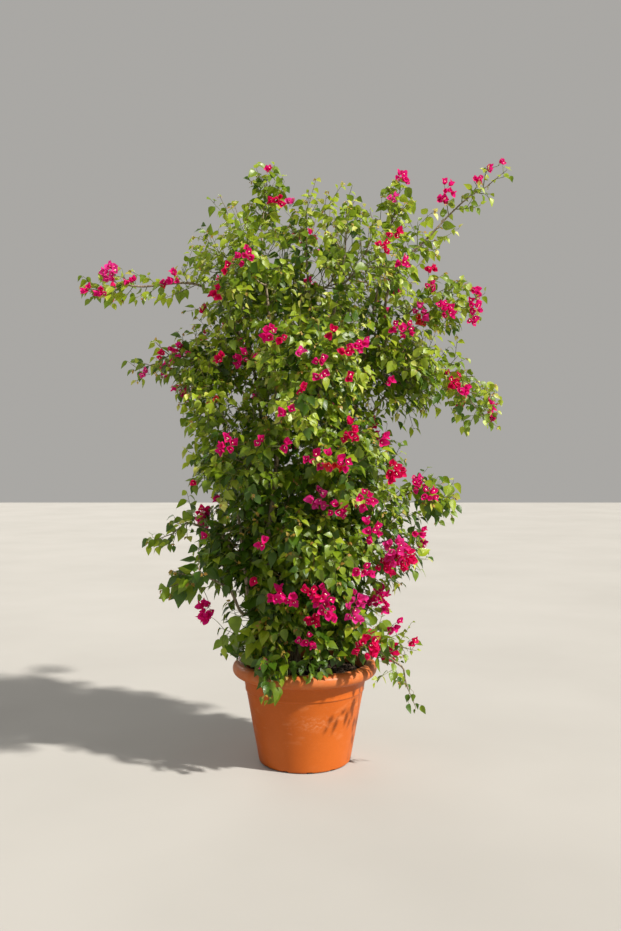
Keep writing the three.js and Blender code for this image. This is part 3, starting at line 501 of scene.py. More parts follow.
class Curve:
    def __init__(self, places):
        self.places = np.array(places, float)

    def tangent(self, along):
        step = 1e-3
        low, high = max(along - step, 0), min(along + step, 1)
        return unit(self.at(high) - self.at(low))

    def points(self, count):
        return np.array([self.at(along) for along in np.linspace(0, 1, count)])

    def length(self):
        steps = np.diff(self.points(CURVE_POINTS["length"]), axis=0)
        return float(np.linalg.norm(steps, axis=1).sum())


class Smooth(Curve):
    """A smooth curve through its places: centripetal Catmull-Rom, as in the part's source."""

    def at(self, along):
        places = self.places
        last = len(places) - 1
        run = along * last
        first = min(int(run), last - 1)
        share = run - first
        start, end = places[first], places[first + 1]
        before = places[first - 1] if first > 0 else 2 * start - end
        after = places[first + 2] if first + 2 <= last else 2 * end - start
        steps = (start - before, end - start, after - end)
        gaps = [math.sqrt(np.linalg.norm(step)) for step in steps]
        slope_in = steps[0] / gaps[0] - (end - before) / (gaps[0] + gaps[1]) + steps[1] / gaps[1]
        slope_out = steps[1] / gaps[1] - (after - start) / (gaps[1] + gaps[2]) + steps[2] / gaps[2]
        slope_in, slope_out = slope_in * gaps[1], slope_out * gaps[1]
        square = -3 * start + 3 * end - 2 * slope_in - slope_out
        cube = 2 * start - 2 * end + slope_in + slope_out
        return start + slope_in * share + square * share ** 2 + cube * share ** 3


class Bezier(Curve):
    def at(self, along):
        rest = 1 - along
        weights = (rest ** 3, 3 * rest ** 2 * along, 3 * rest * along ** 2, along ** 3)
        return sum(weight * place for weight, place in zip(weights, self.places))


class Shoot(Curve):
    """A twig: straight at first, then bending up, or down where lift is under 0."""

    def __init__(self, root, direction, length, lift):
        self.root = root
        self.run = direction * length
        self.rise = UP * length * lift

    def at(self, along):
        return self.root + self.run * along + self.rise * along ** 2


# Limbs

def fork_of(azimuth):
    """Where a stem's fork starts in the trunk, and its direction."""
    tilt = math.radians(FORK["tilt"])
    direction = level_arrow(math.radians(azimuth)) * math.sin(tilt) + UP * math.cos(tilt)
    return np.array(TRUNK["top"]) - UP * TRUNK["top_radius"], direction


def stem_curve(azimuth, *places):
    start, direction = fork_of(azimuth)
    end = start + direction * FORK["length"]
    return Smooth([end, end + direction * STRAIGHT_START, *places])


def side_stem_curve():
    foot = np.array([*SIDE_STEM["foot"], GROUND])
    return Smooth([foot, foot + UP * STRAIGHT_START, *SIDE_STEM["via"], SIDE_STEM["top"]])


def seat_on(curve, level, target):
    """The place on a curve's middle line at a level, and the level direction from it to a target."""
    low, high = 0.0, 1.0
    while high - low > 1e-5:
        middle = (low + high) / 2
        if curve.at(middle)[2] < level:
            low = middle
        else:
            high = middle
    point = curve.at(low)
    outward = (np.array(target, float) - point) * (1, 1, 0)
    return point, unit(outward)


def make_limbs():
    limbs = {name: stem_curve(*plan) for name, plan in STEMS.items()}
    limbs["stem_side"] = side_stem_curve()
    for name, (stem, level, via, tip) in BOUGHS.items():
        point, direction = seat_on(limbs[stem], level, via)
        square = STEM["radius"] + BOUGH["square_start"]
        limbs[name] = Smooth([point, point + direction * square, via, tip])
    return limbs


# The space that a mass keeps to

class Space:
    """An ellipsoid from a root to a tip, with flat cuts where neighbours begin."""

    def __init__(self, root, tip, girth):
        self.centre = (root + tip) / 2
        self.axis = unit(tip - root)
        self.half_length = np.linalg.norm(tip - root) / 2
        self.girth = girth
        self.cuts = []

    def squeezed(self, arrows):
        lengthwise = (arrows @ self.axis)[..., None] * self.axis
        return (arrows - lengthwise) / self.girth + lengthwise / self.half_length

    def holds(self, points, slack=0.0):
        limit = 1 + slack / 2 / self.half_length
        inside = (self.squeezed(points - self.centre) ** 2).sum(axis=-1) <= limit ** 2
        for normal, offset in self.cuts:
            inside &= points @ normal <= offset + slack
        return inside

    def reach(self, origin, direction):
        """How far the space reaches from a place in it, in a direction."""
        place = self.squeezed(origin - self.centre)
        heading = self.squeezed(direction)
        a, b, c = heading @ heading, place @ heading, place @ place - 1
        if c > 0:
            return 0.0
        distance = (math.sqrt(b * b - a * c) - b) / a
        for normal, offset in self.cuts:
            closing = normal @ direction
            if closing > 0:
                distance = min(distance, (offset - normal @ origin) / closing)
        return max(distance, 0.0)

    def half_depth(self, normal):
        lengthwise = normal @ self.axis
        return math.hypot(self.half_length * lengthwise, self.girth * math.sqrt(max(0, 1 - lengthwise ** 2)))


def part_spaces(one, other):
    """Parts two spaces that meet by one plane, nearer to the smaller one."""
    distance = np.linalg.norm(other.centre - one.centre)
    normal = (other.centre - one.centre) / distance
    depth, other_depth = one.half_depth(normal), other.half_depth(normal)
    if depth + other_depth < distance:
        return
    middle = one.centre @ normal + distance * depth / (depth + other_depth)
    one.cuts.append((normal, middle - NEIGHBOUR_GAP / 2))
    other.cuts.append((-normal, -middle - NEIGHBOUR_GAP / 2))


class Room:
    """The room that all the masses' spaces give together, and round the bush's middle."""

    def __init__(self, spaces):
        self.centres = np.array([space.centre for space in spaces])
        self.axes = np.array([space.axis for space in spaces])
        self.half_lengths = np.array([space.half_length for space in spaces])
        self.girths = np.array([space.girth for space in spaces])

    def holds(self, points, slack=0.0):
        arms = points[:, None] - self.centres
        lengthwise = (arms * self.axes).sum(axis=-1)
        across = (arms ** 2).sum(axis=-1) - lengthwise ** 2
        inside = (lengthwise / self.half_lengths) ** 2 + across / self.girths ** 2 <= 1
        return inside.any(axis=1) | (np.hypot(points[:, 0], points[:, 1]) < INNER_RADIUS + slack)

    def reach(self, origin, direction):
        """How far a twig stays in the room, in steps."""
        inside = self.holds(origin + direction * ROOM_STEPS[:, None])
        return float(ROOM_STEPS[-1] if inside.all() else ROOM_STEPS[np.argmin(inside)])


class Beside:
    """The free room beside a bough, as a space for the growth on it."""

    def holds(self, points, slack=0.0):
        return in_box(points + slack) & in_box(points - slack)

    def reach(self, origin, direction):
        return BOUGH_SHOOTS["length"][1]


class Mass:
    """A mass of foliage: its stem, its space and how it grows."""

    def __init__(self, name, index, seat, tip, girth, growth):
        point, direction = seat
        tip = np.array(tip, float)
        span = tip - point
        length = np.linalg.norm(span)
        share = max(LEAST_STEM_SHARE, 1 - growth["end_gap"] / length)
        end = point + span * share
        self.name = name
        self.index = index
        self.growth = growth
        self.tip = tip
        self.stem = Bezier([
            point,
            point + direction * length * MASS_STEM["square_share"],
            end - span * MASS_STEM["end_share"] + UP * length * MASS_STEM["arch"],
            end,
        ])
        self.space = Space(point, tip + unit(span) * TIP_ROOM, girth)


def nearest_stem(limbs, place):
    count = CURVE_POINTS["search"]
    distances = {name: np.linalg.norm(limbs[name].points(count) - place, axis=1).min() for name in STEMS}
    return min(distances, key=distances.get)


def spray_growth(name):
    if name in DENSE_SPRAYS:
        return DENSE_GROWTH
    return SPARSE_GROWTH if name in SPARSE_SPRAYS else SPRAY_GROWTH


def make_masses(limbs):
    masses = []
    for tier, (level, left, right, front, back, turn, girth) in TIERS.items():
        for i in range(TIER_MASSES):
            angle = math.radians(turn + i * 360 / TIER_MASSES)
            across = math.cos(angle) * (right if math.cos(angle) > 0 else left)
            deep = math.sin(angle) * (back if math.sin(angle) > 0 else front)
            side = SIDE_NAMES[i] if turn == 0 else TURNED_NAMES[i]
            seat_level = level - TIER_DROP
            stem = nearest_stem(limbs, np.array([across / TIER_FOOT, deep / TIER_FOOT, seat_level]))
            tip = (across, deep, level)
            seat = seat_on(limbs[stem], seat_level, tip)
            growth = HIGH_GROWTH if tier in HIGH_TIERS else BODY_GROWTH
            masses.append(Mass(f"{tier}_{side}", len(masses), seat, tip, girth, growth))
    for name, (limb, level, tip, girth) in SPRAYS.items():
        curve = limbs[limb]
        seat = (curve.at(1), curve.tangent(1)) if level is None else seat_on(curve, level, tip)
        masses.append(Mass(name, len(masses), seat, tip, girth, spray_growth(name)))
    for i, mass in enumerate(masses):
        for other in masses[i + 1:]:
            part_spaces(mass.space, other.space)
    return masses


# Meshes from arrays

class Sheaf:
    """Many small shapes of one kind, joined as they come."""

    def __init__(self):
        self.vertices = []
        self.triangles = []
        self.uvs = []
        self.count = 0

    def add(self, vertices, triangles, uvs=None):
        self.vertices.append(vertices)
        self.triangles.append(triangles + self.count)
        self.uvs.append(np.zeros((len(vertices), 2)) if uvs is None else uvs)
        self.count += len(vertices)

    def piece(self, name, material):
        """The shapes as one object."""
        vertices = np.concatenate(self.vertices) * METRES
        triangles = np.concatenate(self.triangles)
        uvs = np.concatenate(self.uvs)
        mesh = bpy.data.meshes.new(name)
        mesh.vertices.add(len(vertices))
        mesh.vertices.foreach_set("co", vertices.ravel())
        mesh.loops.add(triangles.size)
        mesh.loops.foreach_set("vertex_index", triangles.ravel().astype(np.int32))
        mesh.polygons.add(len(triangles))
        mesh.polygons.foreach_set("loop_start", np.arange(0, triangles.size, 3, dtype=np.int32))
        mesh.uv_layers.new(name="UVMap").data.foreach_set("uv", uvs[triangles.ravel()].ravel())
        mesh.update(calc_edges=True)
        mesh.validate()
        mesh.shade_smooth()
        return object_of(name, mesh, material)


def grid_triangles(shapes, rows, columns, closed):
    """The triangles of many grids of the same size; a closed one joins its last column to its first."""
    last = columns if closed else columns - 1
    row, column = np.meshgrid(np.arange(rows - 1), np.arange(last), indexing="ij")
    beside = (column + 1) % columns
    a, b = row * columns + column, row * columns + beside
    c, d = a + columns, b + columns
    faces = np.concatenate([np.stack([a, b, d], -1).reshape(-1, 3), np.stack([a, d, c], -1).reshape(-1, 3)])
    return (faces[None] + (np.arange(shapes) * rows * columns)[:, None, None]).reshape(-1, 3)


def tube_rings(paths, radii, sides):
    """Rings round many paths of the same number of points, turned as little as can be."""
    tangents = unit(np.gradient(paths, axis=1))
    upright = np.abs(tangents[:, 0, 2]) > 0.8
    reference = np.where(upright[:, None], ACROSS, UP)
    side = unit(np.cross(reference, tangents[:, 0]))
    angles = np.arange(sides) * 2 * math.pi / sides
    rings = []
    for i in range(paths.shape[1]):
        tangent = tangents[:, i]
        side = unit(side - tangent * (side * tangent).sum(axis=1, keepdims=True))
        rise = np.cross(tangent, side)
        spokes = np.cos(angles)[:, None] * side[:, None] + np.sin(angles)[:, None] * rise[:, None]
        rings.append(paths[:, i, None] + radii[:, i, None, None] * spokes)
    return np.stack(rings, axis=1)


def add_tubes(sheaf, paths, radii, sides):
    """Round tubes along many paths; their ends are left open, inside their host or too thin to see."""
    rings = tube_rings(paths, radii, sides)
    tubes, rows = paths.shape[:2]
    sheaf.add(rings.reshape(-1, 3), grid_triangles(tubes, rows, sides, True))


def add_blades(sheaf, stations, columns, roots, directions, facings, lengths, widths, shapes):
    """Blades: shapes gives each one's fold, droop, wave and phase; columns go from side to side."""
    side = unit(np.cross(facings, directions))
    top = np.cross(directions, side)
    along = np.array([station[0] for station in stations])[None, :, None]
    breadth = np.array([station[1] for station in stations])[None, :, None]
    across = np.array(columns, float)[None, None, :]
    fold, droop, wave, phase = (shapes[:, i, None, None] for i in range(4))
    length, half_width = lengths[:, None, None], (widths / 2)[:, None, None]
    sideways = across * breadth * half_width
    ripple = wave * half_width * np.sin(phase + along * BLADE["ripples"] + across) * across ** 2 * breadth
    curl = BLADE["curl"]
    rise = np.abs(sideways) ** curl / np.maximum(half_width, 1e-6) ** (curl - 1) * fold
    rise = rise - droop * length * along ** 2 + ripple
    forward = along * length * (1 - BLADE["shortening"] * droop * along) + 0 * across
    points = roots[:, None, None] + forward[..., None] * directions[:, None, None]
    points = points + sideways[..., None] * side[:, None, None] + rise[..., None] * top[:, None, None]
    blades, rows, wide = points.shape[:3]
    u, v = np.meshgrid(along[0, :, 0], (across[0, 0] + 1) / 2, indexing="ij")
    uvs = np.tile(np.stack([u, v], -1).reshape(-1, 2), (blades, 1))
    sheaf.add(points.reshape(-1, 3), grid_triangles(blades, rows, wide, False), uvs)


def linked(name, data):
    """A new object in the scene, from a mesh, a lamp or a camera."""
    item = bpy.data.objects.new(name, data)
    bpy.context.scene.collection.objects.link(item)
    return item


def mesh_of(name, vertices, faces):
    mesh = bpy.data.meshes.new(name)
    mesh.from_pydata(vertices, [], faces)
    mesh.update()
    return mesh


def object_of(name, mesh, material):
    mesh.materials.clear()
    mesh.materials.append(material)
    return linked(name, mesh)


def applied(piece):
    """Takes the piece's modifiers into its mesh."""
    bpy.context.view_layer.update()
    evaluated = piece.evaluated_get(bpy.context.evaluated_depsgraph_get())
    piece.data = bpy.data.meshes.new_from_object(evaluated)
    piece.modifiers.clear()
    return piece


# Growth

class Bush:
    """Twigs, leaves and blossom as they grow, gathered by kind and tone."""

    def __init__(self):
        self.woody = []
        self.green = []
        self.stalks = []
        self.thorns = []
        self.leaves = {tone: [] for tone in TONES}
        self.blooms = {tone: [] for tone in BLOOM_TONES}
        self.anchors = []
        self.ends = []

    def add_twig(self, curve, radius, tip_radius, woody=False, reach=1.0):
        """A twig's bark along its curve, as far as it carries leaves."""
        path = np.array([curve.at(along) for along in np.linspace(0, reach, TWIG_POINTS)])
        radii = np.linspace(radius, tip_radius, TWIG_POINTS)
        (self.woody if woody else self.green).append((path, radii))
        self.anchors.extend(path[1:])


def as_seen(point):
    """Where the camera sees a point on the upright plane through the pot's axis: across and up."""
    share = CAMERA_PLACE[1] / (CAMERA_PLACE[1] - point[1])
    seen = CAMERA_PLACE + (point - CAMERA_PLACE) * share
    return seen[0], seen[2]


def near_any(places, point):
    """Whether the camera sees a point in one of some round places."""
    across, up = as_seen(point)
    return any(math.hypot(across - x, up - z) < radius for x, z, radius in places)


def kept(point, random):
    """Whether a leaf or truss grows at a place: fewer do where the crown stays open."""
    across, up = as_seen(point)
    for x, z, half_width, half_height, share in OPENINGS:
        if ((across - x) / half_width) ** 2 + ((up - z) / half_height) ** 2 < 1 and random.share() > share:
            return False
    return True


def in_pot(point):
    """Whether a place is in the pot, in the soil or in the ground, with a little to spare."""
    reach = math.hypot(point[0], point[1])
    if reach > RIM_RADIUS + POT_CLEARANCE:
        return point[2] < POT_CLEARANCE
    return point[2] < (SOIL_LEVEL if reach < MOUTH_RADIUS else POT_HEIGHT) + POT_CLEARANCE


def over_rim(point):
    """Whether a place hangs below the cone that opens from the pot's rim, where only sprays grow."""
    beyond = max(0, math.hypot(point[0], point[1]) - RIM_RADIUS)
    return point[2] < POT_HEIGHT + RIM_MARGIN + beyond * RIM_CONE


def in_box(points):
    return ((points > BOX_LOW) & (points < BOX_HIGH)).all(axis=-1)


def outward_of(mass, point, random):
    """About the way out of the bush, level; in a spray, to the front or the back."""
    if mass.growth["open"]:
        outward = np.array([0.0, -1.0 if random.share() < FACING["front_share"] else 1.0, 0.0])
    else:
        outward = unit(point * (1, 1, 0))
    return turned(outward, UP, FACING["turn"] * random.between(-1, 1))


def level_of(point):
    """How high a place is: 0 low in the bush, 1 in its upper part."""
    return min(max((point[2] - LEAF_LEVELS[0]) / (LEAF_LEVELS[1] - LEAF_LEVELS[0]), 0), 1)


def leaf_size(point, random):
    size = mix(LEAF_SIZE["low"], LEAF_SIZE["high"], level_of(point)) * random.between(*LEAF_SIZE["spread"])
    for x, z, radius, share in LEAF_SIZE_PLACES:
        if math.hypot(point[0] - x, point[2] - z) < radius:
            size *= share
    return size


def add_leaf(bush, mass, twig, along, turn, size, tone, random):
    """One leaf on its stalk, held out from the twig, its blade hanging with its face outward."""
    root = twig.at(along)
    if not kept(root, random):
        return False
    stalk = leaned(twig.tangent(along), math.radians(random.between(*LEAF["stalk_lean"])), turn)
    outward = outward_of(mass, root, random)
    base = root + unit(stalk + UP * LEAF["stalk_rise"]) * size * LEAF["stalk_share"]
    direction = unit(stalk * LEAF["run"] + outward * LEAF["out"] - UP * random.between(*LEAF["hang"]))
    tip = base + direction * size
    if in_pot(tip) or in_pot(base) or not mass.space.holds(np.array([base, tip]), CUT_SLACK).all():
        return False
    if over_rim(tip) and not mass.growth["open"]:
        return False
    facing = outward * random.between(*FACING["outward"]) + UP * random.between(*FACING["up"])
    facing = facing + stalk * random.between(*FACING["sideways"])
    shape = [random.between(*BLADE[form]) for form in ("fold", "droop", "wave", "phase")]
    width = size * LEAF_WIDTH * random.between(*BLADE["breadth"])
    bush.leaves[tone].append((base, direction, facing, size, width, shape))
    bush.stalks.append((root, base, size))
    if random.share() < THORN["share"]:
        thorn = leaned(twig.tangent(along), math.radians(THORN["lean"]), turn + THORN["turn"])
        bush.thorns.append((root, thorn, random.between(*THORN["length"])))
    return True


def tone_at(base, along, random):
    """A leaf's tone: its spray's own, and younger towards the twig's tip."""
    spread = YOUNGER_FROM["spread"]
    younger = 1 if along + random.between(-spread, spread) > YOUNGER_FROM["along"] else 0
    return TONES[base + younger]


def spray_tone_with_painted_light(point, random):
    """The tone of one spray: darker, as painted shade, low down and inside; lighter, as painted light, high
    up and outside.
    """
    if near_any(FRESH_PLACES, point) and random.share() < FRESH_SHARE:
        return 2
    # Painted light and shade: the higher and further out a spray is, the lighter its tone; low down and
    # inside, the darker.
    out = math.hypot(point[0], point[1]) / TONE_REACH
    height = (point[2] - TONE_LEVELS[0]) / (TONE_LEVELS[1] - TONE_LEVELS[0])
    score = PAINTED_LIGHT_SCORE["start"] + PAINTED_LIGHT_SCORE["height"] * height + PAINTED_LIGHT_SCORE["out"] * out
    score += random.between(-PAINTED_LIGHT_SCORE["spread"], PAINTED_LIGHT_SCORE["spread"])
    return 0 if score < PAINTED_LIGHT_SCORE["mid"] else 1 if score < PAINTED_LIGHT_SCORE["fresh"] else 2


def clothe(bush, mass, twig, length, first, random):
    """Leaves along a twig, smaller towards its tip, at golden-angle turns. Returns the last leaf's place."""
    reach = 0.0
    tone = spray_tone_with_painted_light(twig.at(LEAF_ROW["tone_place"]), random)
    count = max(LEAF_ROW["fewest"], round(length * (1 - first) / mass.growth["leaf_gap"]))
    size = leaf_size(twig.at(LEAF_ROW["size_place"]), random)
    start = random.between(*LEAF_ROW["start"])
    for i in range(count):
        along = mix(first, LAST_PLACE, (i + LEAF_ROW["first"]) / count)
        beyond = max(0, along - LEAF_TAPER["from"]) / (1 - LEAF_TAPER["from"])
        taper = mix(1, LEAF_TAPER["tip_share"], beyond)
        leaf_tone = tone_at(tone, along, random)
        own_size = size * taper * random.between(*LEAF_SIZE["own_spread"])
        if add_leaf(bush, mass, twig, along, start + GOLDEN_ANGLE * i, own_size, leaf_tone, random):
            reach = along
    if reach > 0 and random.share() < YOUNG_LEAVES["share"]:
        for i in range(YOUNG_LEAVES["count"]):
            turn = start + i * YOUNG_LEAVES["turn"]
            add_leaf(bush, mass, twig, reach, turn, size * YOUNG_LEAVES["size"], "young", random)
    return reach


def grow_mass(bush, mass):
    """Twigs at golden-angle turns round the mass's stem, side twigs on them, and leaves on all."""
    random = Seeded(mass.index + 1)
    growth = mass.growth
    stem_length = mass.stem.length()
    bush.add_twig(mass.stem, MASS_STEM["radius"], MASS_STEM["tip_radius"], True)
    run = mass.tip - mass.stem.at(1)
    leader_length = np.linalg.norm(run) * LEADER["share"]
    leader = Shoot(mass.stem.at(LEADER["start"]), unit(run), leader_length, LEADER["lift"])
    twigs = [(leader, leader.length(), MASS_STEM["tip_radius"])]
    count = round(stem_length / growth["twig_gap"])
    for i in range(count):
        along = mix(TWIG["first"], TWIG["last"], (i + 0.5) / count)
        root = mass.stem.at(along)
        lean = mix(*TWIG["lean"], along) + TWIG["spread"] * random.between(-1, 1)
        direction = leaned(mass.stem.tangent(along), math.radians(lean), GOLDEN_ANGLE * i + mass.index)
        room = mass.space.reach(root, direction) - TWIG_ROOM
        length = min(TWIG["longest"], room) * random.between(*TWIG["length"])
        if length < TWIG["shortest"] or in_pot(root + direction * length):
            continue
        lift = TWIG_LIFT * random.between(*TWIG["lift"])
        twigs.append((Shoot(root, direction, length, lift), length, TWIG["radius"]))
    clothe(bush, mass, mass.stem, stem_length, MASS_STEM["bare"], random)
    for number, (twig, length, radius) in enumerate(twigs):
        grow_twig(bush, mass, twig, length, radius, number, random)


def grow_twig(bush, mass, twig, length, radius, number, random):
    """A twig with its leaves and side twigs, cut off where nothing grows on it any more."""
    reach = clothe(bush, mass, twig, length, TWIG["bare"], random)
    reach = max(reach, grow_side_twigs(bush, mass, twig, length, number, random))
    if reach > 0:
        bush.add_twig(twig, radius, TWIG["tip_radius"], number % WOODY_EVERY == 0, reach)
        bush.ends.append((twig.at(reach), mass))


def grow_side_twigs(bush, mass, twig, length, number, random):
    """Side twigs with their leaves. Returns the last one's place on its twig."""
    last = 0.0
    count = round(length / mass.growth["side_gap"])
    for i in range(count):
        along = mix(SIDE_TWIG["first"], SIDE_TWIG["last"], (i + 0.5) / count)
        root = twig.at(along)
        turn = number + i * GOLDEN_ANGLE
        direction = leaned(twig.tangent(along), math.radians(random.between(*SIDE_TWIG["lean"])), turn)
        direction = unit(direction + UP * SIDE_TWIG["rise"])
        room = mass.space.reach(root, direction) + CUT_SLACK - TWIG_ROOM
        side_length = min(random.between(*SIDE_TWIG["length"]), room)
        if side_length < TWIG["shortest"] or in_pot(root + direction * side_length):
            continue
        side = Shoot(root, direction, side_length, TWIG_LIFT * random.between(*SIDE_TWIG["lift"]))
        reach = clothe(bush, mass, side, side_length, SIDE_TWIG["bare"], random)
        if reach > 0:
            bush.add_twig(side, SIDE_TWIG["radius"], SIDE_TWIG["tip_radius"], reach=reach)
            bush.ends.append((side.at(reach), mass))
            last = along
    return last


def nearest_to(place, anchors):
    return anchors[np.argmin(((anchors - place) ** 2).sum(axis=1))]


def dress_limbs(bush, limbs, masses):
    """Short leafy shoots along the stems and boughs, then the shoots over the rim and out of the crown."""
    room, beside = Room([mass.space for mass in masses]), Beside()
    for number, (name, curve) in enumerate(limbs.items()):
        random = Seeded(SEEDS["limbs"] + number)
        growth, shoots = (BOUGH_GROWTH, BOUGH_SHOOTS) if name in BOUGHS else (STEM_GROWTH, STEM_SHOOTS)
        home = SimpleNamespace(space=beside if name in BOUGHS else room, growth=growth)
        run = curve.length() * (1 - shoots["first"])
        count = round(run / growth["twig_gap"])
        for i in range(count):
            along = mix(shoots["first"], LAST_PLACE, (i + 0.5) / count)
            root = curve.at(along)
            lean = math.radians(random.between(*SHOOT_LEAN))
            direction = leaned(curve.tangent(along), lean, GOLDEN_ANGLE * i)
            length = min(random.between(*shoots["length"]), home.space.reach(root, direction))
            if length < TWIG["shortest"] or in_pot(root + direction * length):
                continue
            shoot = Shoot(root, direction, length, TWIG_LIFT * random.between(*SHOOT_LIFT))
            grow_twig(bush, home, shoot, length, SHOOT_RADIUS, i + 1, random)
    grow_rim_shoots(bush, beside)
    grow_more_shoots(bush, beside, TOP_SHOOTS, SEEDS["top"])
    grow_more_shoots(bush, beside, SIDE_SHOOTS, SEEDS["side"])


def rim_place(out, beyond, above):
    """A place by the pot's rim: how far beyond it in a direction, and above its top."""
    return out * (RIM_RADIUS + beyond) + UP * (POT_HEIGHT + above)


def grow_rim_shoots(bush, beside):
    """Short shoots that lean over the pot's rim and hang down outside it."""
    home = SimpleNamespace(space=beside, growth=BOUGH_GROWTH)
    random = Seeded(SEEDS["rim"])
    anchors = np.array(bush.anchors)
    inward, upward = RIM_SHOOT["lift"]
    for azimuth, drop in RIM_SHOOTS:
        out = level_arrow(math.radians(azimuth))
        over = rim_place(out, *RIM_SHOOT["over"])
        anchor = nearest_to(over - out * RIM_SHOOT["inward"], anchors)
        past, end = rim_place(out, *RIM_SHOOT["past"]), rim_place(out, RIM_SHOOT["end"], -drop)
        shoot = Bezier([anchor, over - out * inward + UP * upward, past, end])
        grow_twig(bush, home, shoot, shoot.length(), RIM_SHOOT["radius"], 1, random)


def grow_more_shoots(bush, beside, plan, seed):
    """Leafy shoots that reach out of the crown, from the twigs nearest to them."""
    home = SimpleNamespace(space=beside, growth=plan["growth"])
    random = Seeded(seed)
    anchors = np.array(bush.anchors)
    for i, tip in enumerate(plan["tips"]):
        foot = np.array(tip) * SHOOT_FOOT - UP * plan["drop"]
        anchor = nearest_to(foot, anchors)
        shoot = Bezier([anchor, (anchor + foot) / 2, foot + UP * plan["drop"] * SHOOT_BEND, np.array(tip)])
        grow_twig(bush, home, shoot, shoot.length(), SHOOT_RADIUS, i, random)


# Blossom

def front_place(across, up, masses, anchors):
    """The first place in a mass on the camera's line through a place, or else the nearest one to a twig."""
    target = np.array([across, 0.0, up])
    depths = np.arange(FRONT_DEPTHS["first"], FRONT_DEPTHS["last"], FRONT_DEPTHS["step"])
    shares = (depths - CAMERA_PLACE[1]) / -CAMERA_PLACE[1]
    line = CAMERA_PLACE + (target - CAMERA_PLACE) * shares[:, None]
    inside = np.any([mass.space.holds(line) for mass in masses], axis=0)
    if inside.any():
        return line[np.argmax(inside)]
    gaps = np.linalg.norm(line[:, None] - anchors, axis=-1).min(axis=1)
    return line[np.argmin(gaps)]


def grow_truss(bush, anchors, place, outward, blooms, random):
    """A truss: blooms round the end of a spur that grows from the nearest twig."""
    anchor = nearest_to(place, anchors)
    span = place - anchor
    run = np.linalg.norm(span)
    bend = anchor + span * SPUR["run"] + UP * run * SPUR["rise"]
    spur = Bezier([anchor, bend, place - outward * run * SPUR["end"], place])
    bush.add_twig(spur, SPUR["radius"], SPUR["tip_radius"])
    deal = random.share()
    truss_tone = BLOOM_TONES[sum(deal > share for share in TONE_SHARES)]
    young = near_any(YOUNG_PLACES, place)
    heading = unit(outward + UP * random.between(*TRUSS["rise"]))
    spread = math.radians(TRUSS["spread"] + TRUSS["spread_by_bloom"] * min(blooms, TRUSS["widest"]))
    for i in range(blooms):
        lean = spread * math.sqrt((i + TRUSS["first"]) / blooms) * random.between(*TRUSS["ease"])
        direction = leaned(heading, lean, GOLDEN_ANGLE * i + random.between(-TRUSS["turn"], TRUSS["turn"]))
        stalk = random.between(*BLOOM["stalk"]) * (1 + BLOOM["stalk_by_bloom"] * blooms)
        centre = place + direction * stalk
        axis = unit(direction + outward * BLOOM["out"] - UP * random.between(*BLOOM["nod"]))
        if in_pot(centre) or not in_box(centre):
            continue
        tone = "coral" if young and random.share() < YOUNG_SHARE else truss_tone
        bush.stalks.append((place, centre, BLOOM["stalk_size"]))
        length = random.between(*BRACT["length"]) * mix(*BRACT["by_level"], level_of(centre))
        bush.blooms[tone].append((centre, axis, length, random.between(*BLADE["phase"])))


def grow_blossom(bush, masses):
    anchors = np.array(bush.anchors)[::2]
    random = Seeded(len(masses) + 1)
    for across, up, blooms in FRONT_TRUSSES:
        place = front_place(across, up, masses, anchors)
        outward = unit(np.array([across / FRONT_SPREAD, -1, FRONT_RISE]))
        grow_truss(bush, anchors, place - outward * BLOOM_DEPTH, outward, blooms, random)
    grow_far_blossom(bush, anchors, random)


def grow_far_blossom(bush, anchors, random):
    """Trusses on the sides and the back, at the ends of the twigs that reach out furthest."""
    lowest, highest = FAR_TRUSSES["levels"]
    outer = []
    for end, mass in bush.ends:
        if end[1] > FAR_TRUSSES["start"] and lowest < end[2] < highest:
            outward = unit(end * (1, 1, 0))
            far = end[1] > FAR_TRUSSES["depth"] or abs(end[0]) > FAR_TRUSSES["across"]
            if far and mass.space.reach(end, outward) < FAR_TRUSSES["reach"]:
                outer.append((end, outward))
    for _ in range(FAR_TRUSSES["count"]):
        end, outward = outer[int(random.share() * len(outer))]
        blooms = round(random.between(*FAR_TRUSSES["blooms"]))
        if kept(end, random):
            grow_truss(bush, anchors, end - outward * BLOOM_DEPTH / 2, outward, blooms, random)


# Pieces of the bush

def columns_of(rows):
    """The columns of a list of rows, each as an array."""
    return [np.array(values) for values in zip(*rows)]


def add_stalks(sheaf, stalks):
    """Leaf and bloom stalks: thin tubes."""
    roots, ends, sizes = columns_of(stalks)
    radii = np.outer(STALK["radius"] + sizes * STALK["by_size"], STALK["taper"])
    add_tubes(sheaf, np.stack([roots, ends], axis=1), radii, LIMB_SIDES["stalk"])


def add_twigs(sheaf, twigs, sides):
    add_tubes(sheaf, *columns_of(twigs), sides)


def add_woody_twigs(sheaf, bush):
    add_twigs(sheaf, bush.woody, LIMB_SIDES["woody"])
    add_thorns(sheaf, bush.thorns)


def add_thorns(sheaf, thorns):
    roots, directions, lengths = columns_of(thorns)
    lengths = lengths[:, None]
    middles = roots + directions * lengths * THORN["middle"] + UP * lengths * THORN["rise"]
    tips = roots + directions * lengths - UP * lengths * THORN["drop"]
    radii = np.tile(THORN["radii"], (len(thorns), 1))
    add_tubes(sheaf, np.stack([roots, middles, tips], axis=1), radii, LIMB_SIDES["thorn"])


def add_leaves(sheaf, leaves):
    add_blades(sheaf, LEAF_STATIONS, (-1, 0, 1), *columns_of(leaves))


